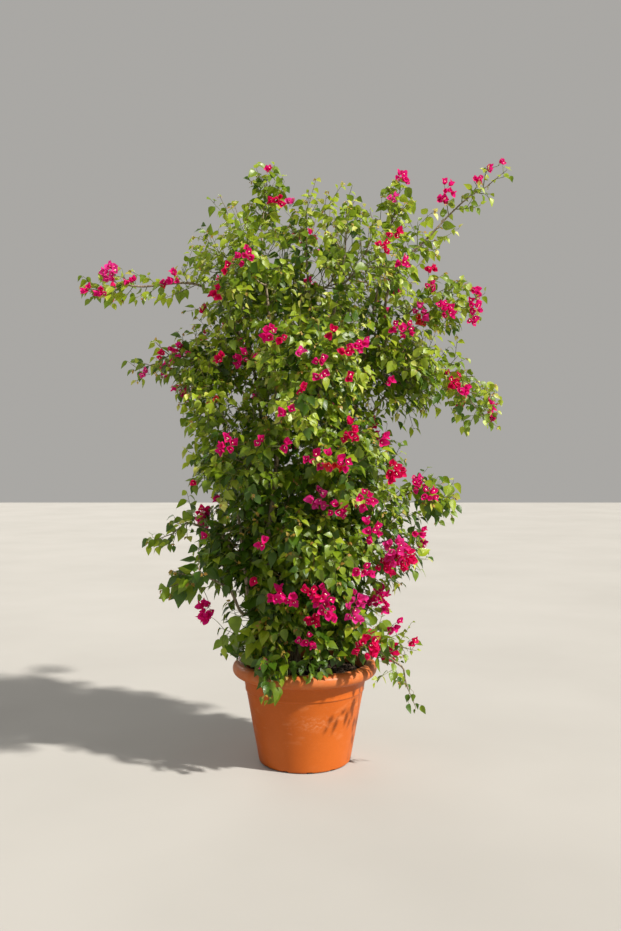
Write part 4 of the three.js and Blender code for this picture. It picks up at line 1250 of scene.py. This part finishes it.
def add_bracts(sheaf, blooms, random):
    """Three papery bracts round each bloom's axis, cupped like a lantern."""
    below, beside = BRACT["foot"]
    bracts = []
    for centre, axis, length, turn in blooms:
        for i in range(BRACT["count"]):
            opening = math.radians(random.between(*BRACT["opening"]))
            radial = leaned(axis, math.pi / 2, turn + i * math.tau / BRACT["count"])
            root = centre - axis * below + radial * beside
            direction = axis * math.cos(opening) + radial * math.sin(opening)
            facing = axis * math.sin(opening) - radial * math.cos(opening)
            size = length * random.between(*BRACT["own_length"])
            width = size * BRACT["width"] * random.between(*BRACT["own_width"])
            shape = [random.between(*BRACT[form]) for form in ("fold", "droop", "wave")]
            bracts.append((root, direction, facing, size, width, [*shape, turn + i]))
    add_blades(sheaf, BRACT_STATIONS, (-1, -0.5, 0, 0.5, 1), *columns_of(bracts))


def add_florets(tubes, stars, blooms, random):
    """The small true flowers: a thin tube inside each bract, and a five-lobed cream star on some."""
    paths, centres, axes = [], [], []
    for centre, axis, length, turn in blooms:
        for i in range(FLORET["count"]):
            lean = math.radians(random.between(*FLORET["lean"]))
            direction = leaned(axis, lean, turn + i * math.tau / FLORET["count"])
            end = centre + direction * length * random.between(*FLORET["height"])
            paths.append([centre, (centre + end) / 2, end])
            if random.share() < STAR["share"]:
                centres.append(end)
                axes.append(direction)
    radii = np.tile(FLORET["flare"], (len(paths), 1)) * FLORET["radius"]
    add_tubes(tubes, np.array(paths), radii, LIMB_SIDES["floret"])
    add_stars(stars, np.array(centres), np.array(axes))


def add_blossom(sheaf, stars, blooms, random):
    add_bracts(sheaf, blooms, random)
    add_florets(sheaf, stars, blooms, random)


def add_stars(sheaf, centres, axes):
    """Small stars, a little cupped, with a raised middle."""
    side = unit(np.cross(np.where(np.abs(axes[:, 2:]) > 0.9, ACROSS, UP), axes))
    rise = np.cross(axes, side)
    points = 2 * STAR["lobes"]
    angles = np.arange(points) * math.tau / points
    reach = np.where(np.arange(points) % 2 == 0, 1, STAR["waist"]) * STAR["radius"]
    rim = centres[:, None] + reach[None, :, None] * (
        np.cos(angles)[None, :, None] * side[:, None] + np.sin(angles)[None, :, None] * rise[:, None]
    ) + axes[:, None] * (STAR["cup"] * reach)[None, :, None]
    vertices = np.concatenate([centres[:, None] + axes[:, None] * STAR["middle"], rim], axis=1)
    ring = np.arange(points)
    faces = np.stack([np.zeros(points, int), ring + 1, (ring + 1) % points + 1], axis=1)
    triangles = (faces[None] + (np.arange(len(centres)) * (points + 1))[:, None, None]).reshape(-1, 3)
    sheaf.add(vertices.reshape(-1, 3), triangles)


# Bark

def relief_at(point, seed):
    """The bark's relief: long furrows, small lumps and a fine grain."""
    return sum(
        share * noise.noise(Vector((point[0] * across, point[1] * across, point[2] * along + seed)))
        for across, along, share in BARK_NOISE
    )


def run_along(points):
    """How far along a line of points each of them is."""
    return np.concatenate([[0], np.cumsum(np.linalg.norm(np.diff(points, axis=0), axis=1))])


def add_barked(sheaf, path, radii, sides, seed):
    """A limb with relief: furrows, and a swelling at every leaf scar."""
    rings = tube_rings(path[None], radii[None], sides)[0]
    run = run_along(path)
    gap = SWELLING["gap"]
    away = (run + seed * SWELLING["shift"]) % gap - gap / 2
    swelling = 1 + SWELLING["height"] * np.exp(-(away / SWELLING["half_length"]) ** 2)
    for i, ring in enumerate(rings):
        arms = (ring - path[i]) * swelling[i]
        relief = np.array([relief_at(point, seed) for point in ring])
        rings[i] = path[i] + arms * (1 + RELIEF * relief)[:, None]
    sheaf.add(rings.reshape(-1, 3), grid_triangles(1, len(path), sides, True))


def resampled(points):
    """Points the limbs' gap apart, about, along a line of points."""
    run = run_along(points)
    steps = np.linspace(0, run[-1], max(int(run[-1] / LIMB_GAP), 2))
    return np.stack([np.interp(steps, run, points[:, axis]) for axis in range(3)], axis=1)


def flared(path, plan):
    """Radii along a limb's path, with a flare at its foot that fades."""
    share = np.linspace(0, 1, len(path))
    return mix(plan["radius"], plan["tip_radius"], share) + plan["flare"] * np.exp(-share * plan["fade"])


def add_stems(sheaf, limbs):
    for seed, (name, plan) in enumerate(STEMS.items()):
        start, direction = fork_of(plan[0])
        inside = start + direction * FORK["length"] * FORK_START
        path = resampled(np.concatenate([[inside], limbs[name].points(CURVE_POINTS["stem"])]))
        add_barked(sheaf, path, flared(path, STEM), LIMB_SIDES["stem"], seed)
    side = limbs["stem_side"].points(CURVE_POINTS["stem"])
    path = resampled(np.concatenate([[side[0] - UP * BELOW_SOIL], side]))
    add_barked(sheaf, path, flared(path, SIDE_STEM), LIMB_SIDES["stem"], len(STEMS))


def add_boughs(sheaf, limbs):
    for seed, name in enumerate(BOUGHS):
        path = resampled(limbs[name].points(CURVE_POINTS["bough"]))
        add_barked(sheaf, path, flared(path, BOUGH), LIMB_SIDES["bough"], RELIEF_SEEDS["boughs"] + seed)


def trunk_paths():
    """The trunk's foot, its root flares and the forks: start, end and the radius at each."""
    foot = np.array([*TRUNK["place"], GROUND - BELOW_SOIL])
    paths = [(foot, np.array(TRUNK["top"], float), TRUNK["foot_radius"], TRUNK["top_radius"])]
    for i in range(ROOTS["count"]):
        angle = math.radians(ROOTS["turn"] + i * 360 / ROOTS["count"])
        top = np.array([*TRUNK["place"], GROUND + ROOTS["rise"]])
        end = np.array([*TRUNK["place"], GROUND - ROOT_DIP]) + level_arrow(angle) * ROOTS["spread"]
        paths.append((top, end, ROOTS["radius"], ROOTS["tip_radius"]))
    for azimuth, *_ in STEMS.values():
        start, direction = fork_of(azimuth)
        paths.append((start, start + direction * FORK["length"], FORK["foot_radius"], FORK["radius"]))
    return paths


def add_rod(sheaf, start, end, radius, end_radius):
    """A straight closed rod between two radii."""
    sides = LIMB_SIDES["trunk"]
    share = np.linspace(0, 1, TRUNK_ROWS)[:, None]
    path = start + (end - start) * share
    rings = tube_rings(path[None], mix(radius, end_radius, share.T), sides)[0]
    vertices = np.concatenate([rings.reshape(-1, 3), [start, end]])
    count = len(vertices)
    ring = np.arange(sides)
    following = (ring + 1) % sides
    top = sides * (TRUNK_ROWS - 1)
    first = np.stack([np.full(sides, count - 2), following, ring], axis=1)
    last = np.stack([np.full(sides, count - 1), ring + top, following + top], axis=1)
    sheaf.add(vertices, np.concatenate([grid_triangles(1, TRUNK_ROWS, sides, True), first, last]))


def trunk_piece(material):
    """The trunk's foot, its root flares and the forks, melted into one body with bark relief."""
    sheaf = Sheaf()
    for path in trunk_paths():
        add_rod(sheaf, *path)
    piece = sheaf.piece("trunk_bark", material)
    remesh = piece.modifiers.new("melted", "REMESH")
    remesh.mode = "VOXEL"
    remesh.voxel_size = TRUNK_VOXEL * METRES
    smooth = piece.modifiers.new("smoothed", "SMOOTH")
    smooth.factor = TRUNK_SMOOTHING["factor"]
    smooth.iterations = TRUNK_SMOOTHING["iterations"]
    applied(piece)
    for vertex in piece.data.vertices:
        relief = relief_at(vertex.co / METRES, RELIEF_SEEDS["trunk"])
        vertex.co += vertex.normal * relief * TRUNK_RELIEF * METRES
    piece.data.shade_smooth()
    return piece


# Pot and soil

def wall_radius(z):
    return FOOT_RADIUS + WALL_SLOPE * z


def inner_radius(z):
    return wall_radius(z) - POT_WALL


def pot_profile():
    """The pot's outline from the middle of its underside up round the rim and down inside."""
    roll = RIM_HEIGHT / 2
    roll_centre = (RIM_RADIUS - roll, POT_HEIGHT - roll)
    collar_foot = WALL_TOP - COLLAR_HEIGHT
    flat = FOOT_RADIUS - FOOT_ROUNDING
    points = [(reach, 0) for reach in (*UNDERSIDE_RINGS, flat)]
    for i in range(1, FOOT_STEPS + 1):
        angle = math.radians(90 / FOOT_STEPS * i - 90)
        reach = flat + FOOT_ROUNDING * math.cos(angle) + WALL_SLOPE * FOOT_ROUNDING * i / FOOT_STEPS
        points.append((reach, FOOT_ROUNDING * (1 + math.sin(angle))))
    first, last = FOOT_ROUNDING + WALL_RINGS["first"], collar_foot - WALL_RINGS["last"]
    points += [(wall_radius(z), z) for z in np.linspace(first, last, WALL_RINGS["count"])]
    for rise, share in COLLAR_BEAD:
        points.append((wall_radius(collar_foot + rise) + COLLAR_STEP * share, collar_foot + rise))
    points += [(NECK_RADIUS + COLLAR_STEP, WALL_TOP - NECK_BEVEL), (NECK_RADIUS + NECK_STEP, WALL_TOP)]
    for turn in range(-90, 91, ROLL_STEP):
        angle = math.radians(turn)
        points.append((roll_centre[0] + roll * math.cos(angle), roll_centre[1] + roll * math.sin(angle)))
    mouth = inner_radius(POT_HEIGHT)
    points += [(mouth + MOUTH_BEVEL, POT_HEIGHT), (mouth + LIP[0], POT_HEIGHT - LIP[1])]
    points.append((mouth, POT_HEIGHT - MOUTH_BEVEL))
    points += [(inner_radius(z), z) for z in INSIDE_LEVELS]
    return [*points, (INSIDE_MIDDLE, FLOOR_THICKNESS)]


def turned_rings(profile, segments):
    """The points of a profile turned round the pot's axis, ring by ring."""
    angles = np.arange(segments) * math.tau / segments
    rings = [[(reach * math.cos(a), reach * math.sin(a), z) for a in angles] for reach, z in profile]
    return np.array(rings).reshape(-1, 3)


def lathe_object(name, profile, segments, material):
    """A body turned from a profile, closed by a flat face at each end of it."""
    vertices = turned_rings(profile, segments) * METRES
    faces = []
    for row in range(len(profile) - 1):
        for i in range(segments):
            a, b = row * segments + i, row * segments + (i + 1) % segments
            faces.append((a, b, b + segments, a + segments))
    last = (len(profile) - 1) * segments
    faces.append(tuple(reversed(range(segments))))
    faces.append(tuple(range(last, last + segments)))
    return object_of(name, mesh_of(name, vertices.tolist(), faces), material)


def pot_piece(material):
    """The pot, with twelve small notches cut round its foot."""
    pot = lathe_object("pot_body", pot_profile(), POT_SEGMENTS, material)
    vertices, faces = [], []
    for i in range(NOTCHES):
        out = level_arrow(math.radians(NOTCH["turn"] - 90) + i * math.tau / NOTCHES)
        side = np.cross(UP, out)
        count = len(vertices)
        for z in (-NOTCH["height"], NOTCH["height"]):
            for away, across in ((-1, -1), (1, -1), (1, 1), (-1, 1)):
                reach = FOOT_RADIUS + away * NOTCH["depth"]
                vertices.append((out * reach + side * across * NOTCH["width"] / 2 + UP * z) * METRES)
        for face in ((3, 2, 1, 0), (4, 5, 6, 7), (0, 1, 5, 4), (1, 2, 6, 5), (2, 3, 7, 6), (3, 0, 4, 7)):
            faces.append([count + corner for corner in face])
    notches = linked("notches", mesh_of("notches", vertices, faces))
    cut = pot.modifiers.new("notched", "BOOLEAN")
    cut.operation = "DIFFERENCE"
    cut.solver = "EXACT"
    cut.object = notches
    applied(pot)
    bpy.data.objects.remove(notches)
    pot.data.shade_smooth()
    pot.data.set_sharp_from_angle(angle=math.radians(POT_SHARP_ANGLE))
    return pot


def soil_piece(material):
    """The potting mix: a body with an uneven top, strewn with crumbs."""
    wall = inner_radius(SOIL_LEVEL) - SOIL_WALL_GAP
    foot = FLOOR_THICKNESS + SOIL_FLOOR_GAP
    rows = [(inner_radius(foot) - SOIL_WALL_GAP, foot)]
    rows += [(wall * share, SOIL_LEVEL) for share in np.linspace(1, SOIL_TOP["middle"], SOIL_RINGS)]
    vertices = turned_rings(rows, SOIL_SEGMENTS)
    for vertex in vertices[SOIL_SEGMENTS:]:
        x, y = vertex[0], vertex[1]
        bumps = sum(noise.noise(Vector((x * scale, y * scale, z))) * size for scale, z, size in SOIL_BUMPS)
        edge = min(1, (wall - math.hypot(x, y)) / SOIL_TOP["edge"])
        vertex[2] += min(bumps, SOIL_TOP["highest"]) * edge - SOIL_TOP["sink"]
    sheaf = Sheaf()
    sheaf.add(vertices, grid_triangles(1, len(rows), SOIL_SEGMENTS, True))
    add_crumbs(sheaf, wall - CRUMBS["edge"])
    return sheaf.piece("soil_mix", material)


def add_crumbs(sheaf, widest):
    """Crumbs on the soil: small boxes with uneven corners, at golden-angle turns."""
    random = Seeded(SEEDS["crumbs"])
    corners = np.array([(x, y, z) for x in (-1, 1) for y in (-1, 1) for z in (-1, 1)], float)
    box = np.array([(0, 1, 3), (0, 3, 2), (4, 7, 5), (4, 6, 7), (0, 5, 1), (0, 4, 5),
                    (2, 3, 7), (2, 7, 6), (0, 2, 6), (0, 6, 4), (1, 5, 7), (1, 7, 3)])
    for i in range(CRUMBS["count"]):
        reach = widest * math.sqrt((i + 0.5) / CRUMBS["count"])
        size = mix(*CRUMBS["size"], random.share() ** 2)
        level = SOIL_LEVEL + random.between(*CRUMBS["rise"])
        place = level_arrow(GOLDEN_ANGLE * i) * reach + UP * level
        knobs = np.array([random.between(*CRUMBS["knobs"]) for _ in corners])[:, None]
        spin = random.between(0, math.tau)
        crumb = corners * knobs * size * CRUMBS["shape"]
        crumb = np.array([turned(corner, UP, spin) for corner in crumb])
        sheaf.add(crumb + place, box)


# Materials

class Look:
    """A material of nodes: a principled shader whose colour, roughness and bump come from patterns."""

    def __init__(self, name, roughness, specular=0.5):
        self.material = bpy.data.materials.new(name)
        self.material.use_nodes = True
        self.nodes = self.material.node_tree.nodes
        self.links = self.material.node_tree.links
        self.shader = self.nodes["Principled BSDF"]
        self.shader.inputs["Roughness"].default_value = roughness
        self.shader.inputs["Specular IOR Level"].default_value = specular
        self.places = self.nodes.new("ShaderNodeTexCoord")

    def pattern(self, scale, detail=3, stretch=(1, 1, 1)):
        """A soft noise over the piece's own coordinates, stretched along its axes."""
        mapping = self.nodes.new("ShaderNodeMapping")
        mapping.inputs["Scale"].default_value = stretch
        self.links.new(self.places.outputs["Object"], mapping.inputs["Vector"])
        texture = self.nodes.new("ShaderNodeTexNoise")
        texture.inputs["Scale"].default_value = scale
        texture.inputs["Detail"].default_value = detail
        self.links.new(mapping.outputs["Vector"], texture.inputs["Vector"])
        return texture.outputs["Fac"]

    def ramp(self, value, stops):
        """A ramp from values to colours or greys."""
        ramp = self.nodes.new("ShaderNodeValToRGB")
        elements = ramp.color_ramp.elements
        while len(elements) < len(stops):
            elements.new(0.5)
        for element, (place, colour) in zip(elements, stops):
            element.position = place
            element.color = (*colour, 1) if isinstance(colour, tuple) else (colour, colour, colour, 1)
        self.links.new(value, ramp.inputs["Fac"])
        return ramp.outputs["Color"]

    def feed(self, socket, value):
        """Sets a socket to a number or a colour, or links it to another socket."""
        if isinstance(value, bpy.types.NodeSocket):
            self.links.new(value, socket)
        else:
            socket.default_value = (*value, 1) if isinstance(value, tuple) else value

    def mixed(self, one, other, share, blend="MIX"):
        """One colour laid over another; a share may be a number or a pattern."""
        node = self.nodes.new("ShaderNodeMix")
        node.data_type = "RGBA"
        node.blend_type = blend
        self.feed(node.inputs["Factor"], share)
        self.feed(node.inputs[6], one)
        self.feed(node.inputs[7], other)
        return node.outputs[2]

    def maths(self, operation, one, other=0.0):
        node = self.nodes.new("ShaderNodeMath")
        node.operation = operation
        self.feed(node.inputs[0], one)
        self.feed(node.inputs[1], other)
        return node.outputs[0]

    def colour(self, socket):
        self.links.new(socket, self.shader.inputs["Base Color"])

    def roughness(self, value, low, high):
        self.links.new(self.ramp(value, ((0.3, low), (0.7, high))), self.shader.inputs["Roughness"])

    def bump(self, height, strength, distance):
        node = self.nodes.new("ShaderNodeBump")
        node.inputs["Strength"].default_value = strength
        node.inputs["Distance"].default_value = distance
        self.links.new(height, node.inputs["Height"])
        self.links.new(node.outputs["Normal"], self.shader.inputs["Normal"])

    def place_along(self, coordinates, axis):
        """One of the places of a point: its Object or UV coordinate along an axis."""
        parts = self.nodes.new("ShaderNodeSeparateXYZ")
        self.links.new(self.places.outputs[coordinates], parts.inputs["Vector"])
        return parts.outputs[axis]

    def spot(self, centre, half_sizes):
        """A soft spot on the piece: 1 at its centre and 0 at its edge."""
        left = 1.0
        for axis, middle, half_size in zip("XYZ", centre, half_sizes):
            arm = self.maths("SUBTRACT", self.place_along("Object", axis), middle)
            away = self.maths("DIVIDE", arm, half_size)
            left = self.maths("SUBTRACT", left, self.maths("MULTIPLY", away, away))
        return self.maths("MAXIMUM", left, 0.0)

    def veins(self, count, slant):
        """Side veins and a middle rib, from the blade's own coordinates."""
        away = self.maths("ABSOLUTE", self.maths("SUBTRACT", self.place_along("UV", "Y"), 0.5))
        phase = self.maths("SUBTRACT", self.place_along("UV", "X"), self.maths("MULTIPLY", away, slant))
        wave = self.maths("SINE", self.maths("MULTIPLY", phase, count * math.tau))
        rib = self.maths("LESS_THAN", away, RIB_HALF_WIDTH)
        return self.maths("ADD", self.maths("MULTIPLY", wave, VEIN_DEPTH), rib)

    def glow(self, colour, share):
        """Lets some light through a thin blade."""
        through = self.nodes.new("ShaderNodeBsdfTranslucent")
        through.inputs["Color"].default_value = (*colour, 1)
        blend = self.nodes.new("ShaderNodeMixShader")
        blend.inputs["Fac"].default_value = share
        output = self.nodes["Material Output"]
        self.links.new(self.shader.outputs[0], blend.inputs[1])
        self.links.new(through.outputs[0], blend.inputs[2])
        self.links.new(blend.outputs[0], output.inputs["Surface"])


def blade_look(name, colours, plan):
    """A leaf or a bract: two soft tones, a fine speckle, veins, and some light let through."""
    darker, lighter = colours
    look = Look(name, *plan["shader"])
    broad = look.ramp(look.pattern(plan["broad"], 2), ((0.36, darker), (0.64, lighter)))
    fine = look.ramp(look.pattern(plan["fine"], 2), ((0.35, plan["speckle"]), (0.65, 1.0)))
    look.colour(look.mixed(broad, fine, plan["fine_share"], "MULTIPLY"))
    look.roughness(look.pattern(plan["gloss"], 2), *plan["roughness"])
    look.bump(look.veins(*plan["veins"]), *plan["bump"])
    through = tuple(min(1, channel * plan["brighter"] + plan["paler"]) for channel in lighter)
    look.glow(through, plan["glow"])
    return look.material


def floret_look():
    look = Look("floret_cream", 0.6, 0.3)
    look.colour(look.ramp(look.pattern(300, 2), ((0.35, (0.80, 0.74, 0.46)), (0.6, (0.90, 0.87, 0.70)))))
    look.roughness(look.pattern(200, 2), 0.5, 0.7)
    look.bump(look.pattern(900, 2), 0.2, 0.0003)
    return look.material


def bark_look():
    look = Look("bark_grey_brown", 0.82, 0.3)
    furrows = look.pattern(330, 5, (1, 1, 0.12))
    base = look.ramp(furrows, ((0.34, (0.085, 0.060, 0.040)), (0.52, (0.240, 0.185, 0.130)),
                               (0.7, (0.410, 0.340, 0.255))))
    patches = look.ramp(look.pattern(22, 3, (1, 1, 0.5)), ((0.42, 1.0), (0.66, (0.72, 0.80, 0.60))))
    look.colour(look.mixed(base, patches, 0.8, "MULTIPLY"))
    look.roughness(furrows, 0.72, 0.92)
    look.bump(furrows, 0.7, 0.0012)
    return look.material


def shoot_look():
    look = Look("shoot_green", 0.55, 0.4)
    broad = look.ramp(look.pattern(18, 2), ((0.36, (0.085, 0.115, 0.022)), (0.52, (0.150, 0.190, 0.040)),
                                             (0.68, (0.200, 0.120, 0.050))))
    fine = look.ramp(look.pattern(500, 3, (1, 1, 0.3)), ((0.35, 0.75), (0.65, 1.0)))
    look.colour(look.mixed(broad, fine, 0.6, "MULTIPLY"))
    look.roughness(look.pattern(120, 2), 0.45, 0.65)
    look.bump(look.pattern(700, 3, (1, 1, 0.3)), 0.3, 0.0004)
    return look.material


def pot_look():
    look = Look("terracotta_plastic", 0.42, 0.22)
    base = look.ramp(look.pattern(5, 4), ((0.35, (0.470, 0.096, 0.008)), (0.65, (0.530, 0.118, 0.013))))
    speckle = look.ramp(look.pattern(240, 3), ((0.3, 0.86), (0.7, 1.0)))
    clean = look.mixed(base, speckle, 0.5, "MULTIPLY")
    scuffs = look.ramp(look.pattern(20, 9, (1, 1, 2.2)), ((0.57, 0.0), (0.74, 0.34)))
    scratches = look.ramp(look.pattern(70, 6, (1, 1, 2.6)), ((0.64, 0.0), (0.76, 0.22)))
    wall = look.ramp(look.place_along("Object", "Z"), ((0.05, 0.1), (0.12, 1.0), (0.17, 1.0), (0.22, 0.25)))
    worn = look.mixed(clean, (0.66, 0.29, 0.13), look.maths("MULTIPLY", scuffs, wall))
    worn = look.mixed(worn, (0.70, 0.36, 0.20), look.maths("MULTIPLY", scratches, wall))
    patch = look.spot((0.027, -0.165, 0.146), (0.064, 0.10, 0.028))
    rubbed = look.ramp(look.pattern(95, 8, (1, 1, 1.8)), ((0.44, 0.0), (0.68, 0.32)))
    worn = look.mixed(worn, (0.74, 0.36, 0.19), look.maths("MULTIPLY", rubbed, patch))
    # The rim's top is paler: partly dust and sun-bleaching, partly a painted highlight along the rim.
    rim = look.ramp(look.place_along("Object", "Z"), ((0.247, 0.0), (0.268, 1.0)))
    dust_and_sheen = look.ramp(look.pattern(44, 6), ((0.36, 0.16), (0.66, 0.46)))
    look.colour(look.mixed(worn, (0.50, 0.215, 0.100), look.maths("MULTIPLY", dust_and_sheen, rim)))
    look.roughness(look.pattern(30, 6), 0.34, 0.54)
    look.bump(look.pattern(420, 3), 0.16, 0.0006)
    return look.material


def soil_look():
    look = Look("potting_mix", 0.95, 0.2)
    crumbs = look.pattern(170, 5)
    look.colour(look.ramp(crumbs, ((0.32, (0.012, 0.008, 0.005)), (0.55, (0.045, 0.028, 0.018)),
                                   (0.74, (0.120, 0.080, 0.052)))))
    look.roughness(look.pattern(60, 3), 0.85, 1.0)
    look.bump(crumbs, 0.9, 0.003)
    return look.material


def floor_look():
    look = Look("floor_pale", 0.85, 0.2)
    look.colour(look.ramp(look.pattern(1.2, 3), ((0.3, (0.36, 0.35, 0.335)), (0.7, (0.39, 0.38, 0.365)))))
    look.roughness(look.pattern(3, 2), 0.8, 0.9)
    look.bump(look.pattern(60, 2), 0.05, 0.001)
    return look.material


# The scene

def fit(piece, nodes):
    """The piece rides on the plant's one body and stands for its nodes."""
    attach(piece, "root")
    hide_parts(*nodes)


def grown(name, material, slot, nodes, add, *growth):
    """A piece of many small shapes, which add puts in one sheaf."""
    sheaf = Sheaf()
    add(sheaf, *growth)
    fit(sheaf.piece(name, material), nodes)


def make_bush():
    limbs = make_limbs()
    masses = make_masses(limbs)
    bush = Bush()
    for mass in masses:
        grow_mass(bush, mass)
    dress_limbs(bush, limbs, masses)
    grow_blossom(bush, masses)
    foliage = [mass.name for mass in masses]
    bark, green = bark_look(), shoot_look()

    fit(trunk_piece(bark), ["trunk"])
    grown("stems_bark", bark, "bark", [*STEMS, "stem_side"], add_stems, limbs)
    grown("boughs_bark", bark, "bark", BOUGHS, add_boughs, limbs)
    grown("twigs_woody", bark, "bark", foliage, add_woody_twigs, bush)
    grown("twigs_green", green, "foliage", foliage, add_twigs, bush.green, LIMB_SIDES["green"])
    grown("leaf_stalks", green, "foliage", foliage, add_stalks, bush.stalks)
    for tone, leaves in bush.leaves.items():
        look = blade_look(f"leaf_{tone}", LEAF_COLOURS[tone], LEAF_LOOK)
        grown(f"leaves_{tone}", look, "foliage", foliage, add_leaves, leaves)
    random = Seeded(SEEDS["bracts"])
    stars = Sheaf()
    for tone, blooms in bush.blooms.items():
        look = blade_look(f"bract_{tone}", BRACT_COLOURS[tone], BRACT_LOOK)
        grown(f"bracts_{tone}", look, "bract", FLOWERING, add_blossom, stars, blooms, random)
    fit(stars.piece("florets_cream", floret_look()), FLOWERING)


def make_stage():
    """A plain pale floor, lights from the right, the front and behind, and a pale surround."""
    corners = [(x * FLOOR_REACH, y * FLOOR_REACH, 0) for x, y in ((-1, -1), (1, -1), (1, 1), (-1, 1))]
    floor = object_of("floor", mesh_of("floor", corners, [(0, 1, 2, 3)]), floor_look())
    floor.location.z = -FLOOR_DROP
    for name, (place, spread, power, tint) in SUNS.items():
        lamp = bpy.data.lights.new(name, "SUN")
        lamp.angle = math.radians(spread)
        lamp.energy = power
        lamp.color = tint
        light = linked(name, lamp)
        light.location = place
        light.rotation_euler = (Vector(SUNS_AIM) - Vector(place)).to_track_quat("-Z", "Y").to_euler()
    world = bpy.data.worlds.new("surround")
    world.use_nodes = True
    for socket, value in SURROUND.items():
        world.node_tree.nodes["Background"].inputs[socket].default_value = value
    bpy.context.scene.world = world
    bpy.context.scene.view_settings.view_transform = "Standard"


def make_camera():
    lens = bpy.data.cameras.new("camera")
    lens.sensor_width = SENSOR
    lens.lens = FOCAL_PIXELS / PICTURE_HEIGHT * SENSOR
    camera = linked("camera", lens)
    camera.location = CAMERA_PLACE * METRES
    camera.rotation_euler = (math.radians(90 - CAMERA_TILT), 0, 0)
    bpy.context.scene.camera = camera


fit(pot_piece(pot_look()), ["pot"])
fit(soil_piece(soil_look()), ["soil"])
make_bush()
make_stage()
make_camera()
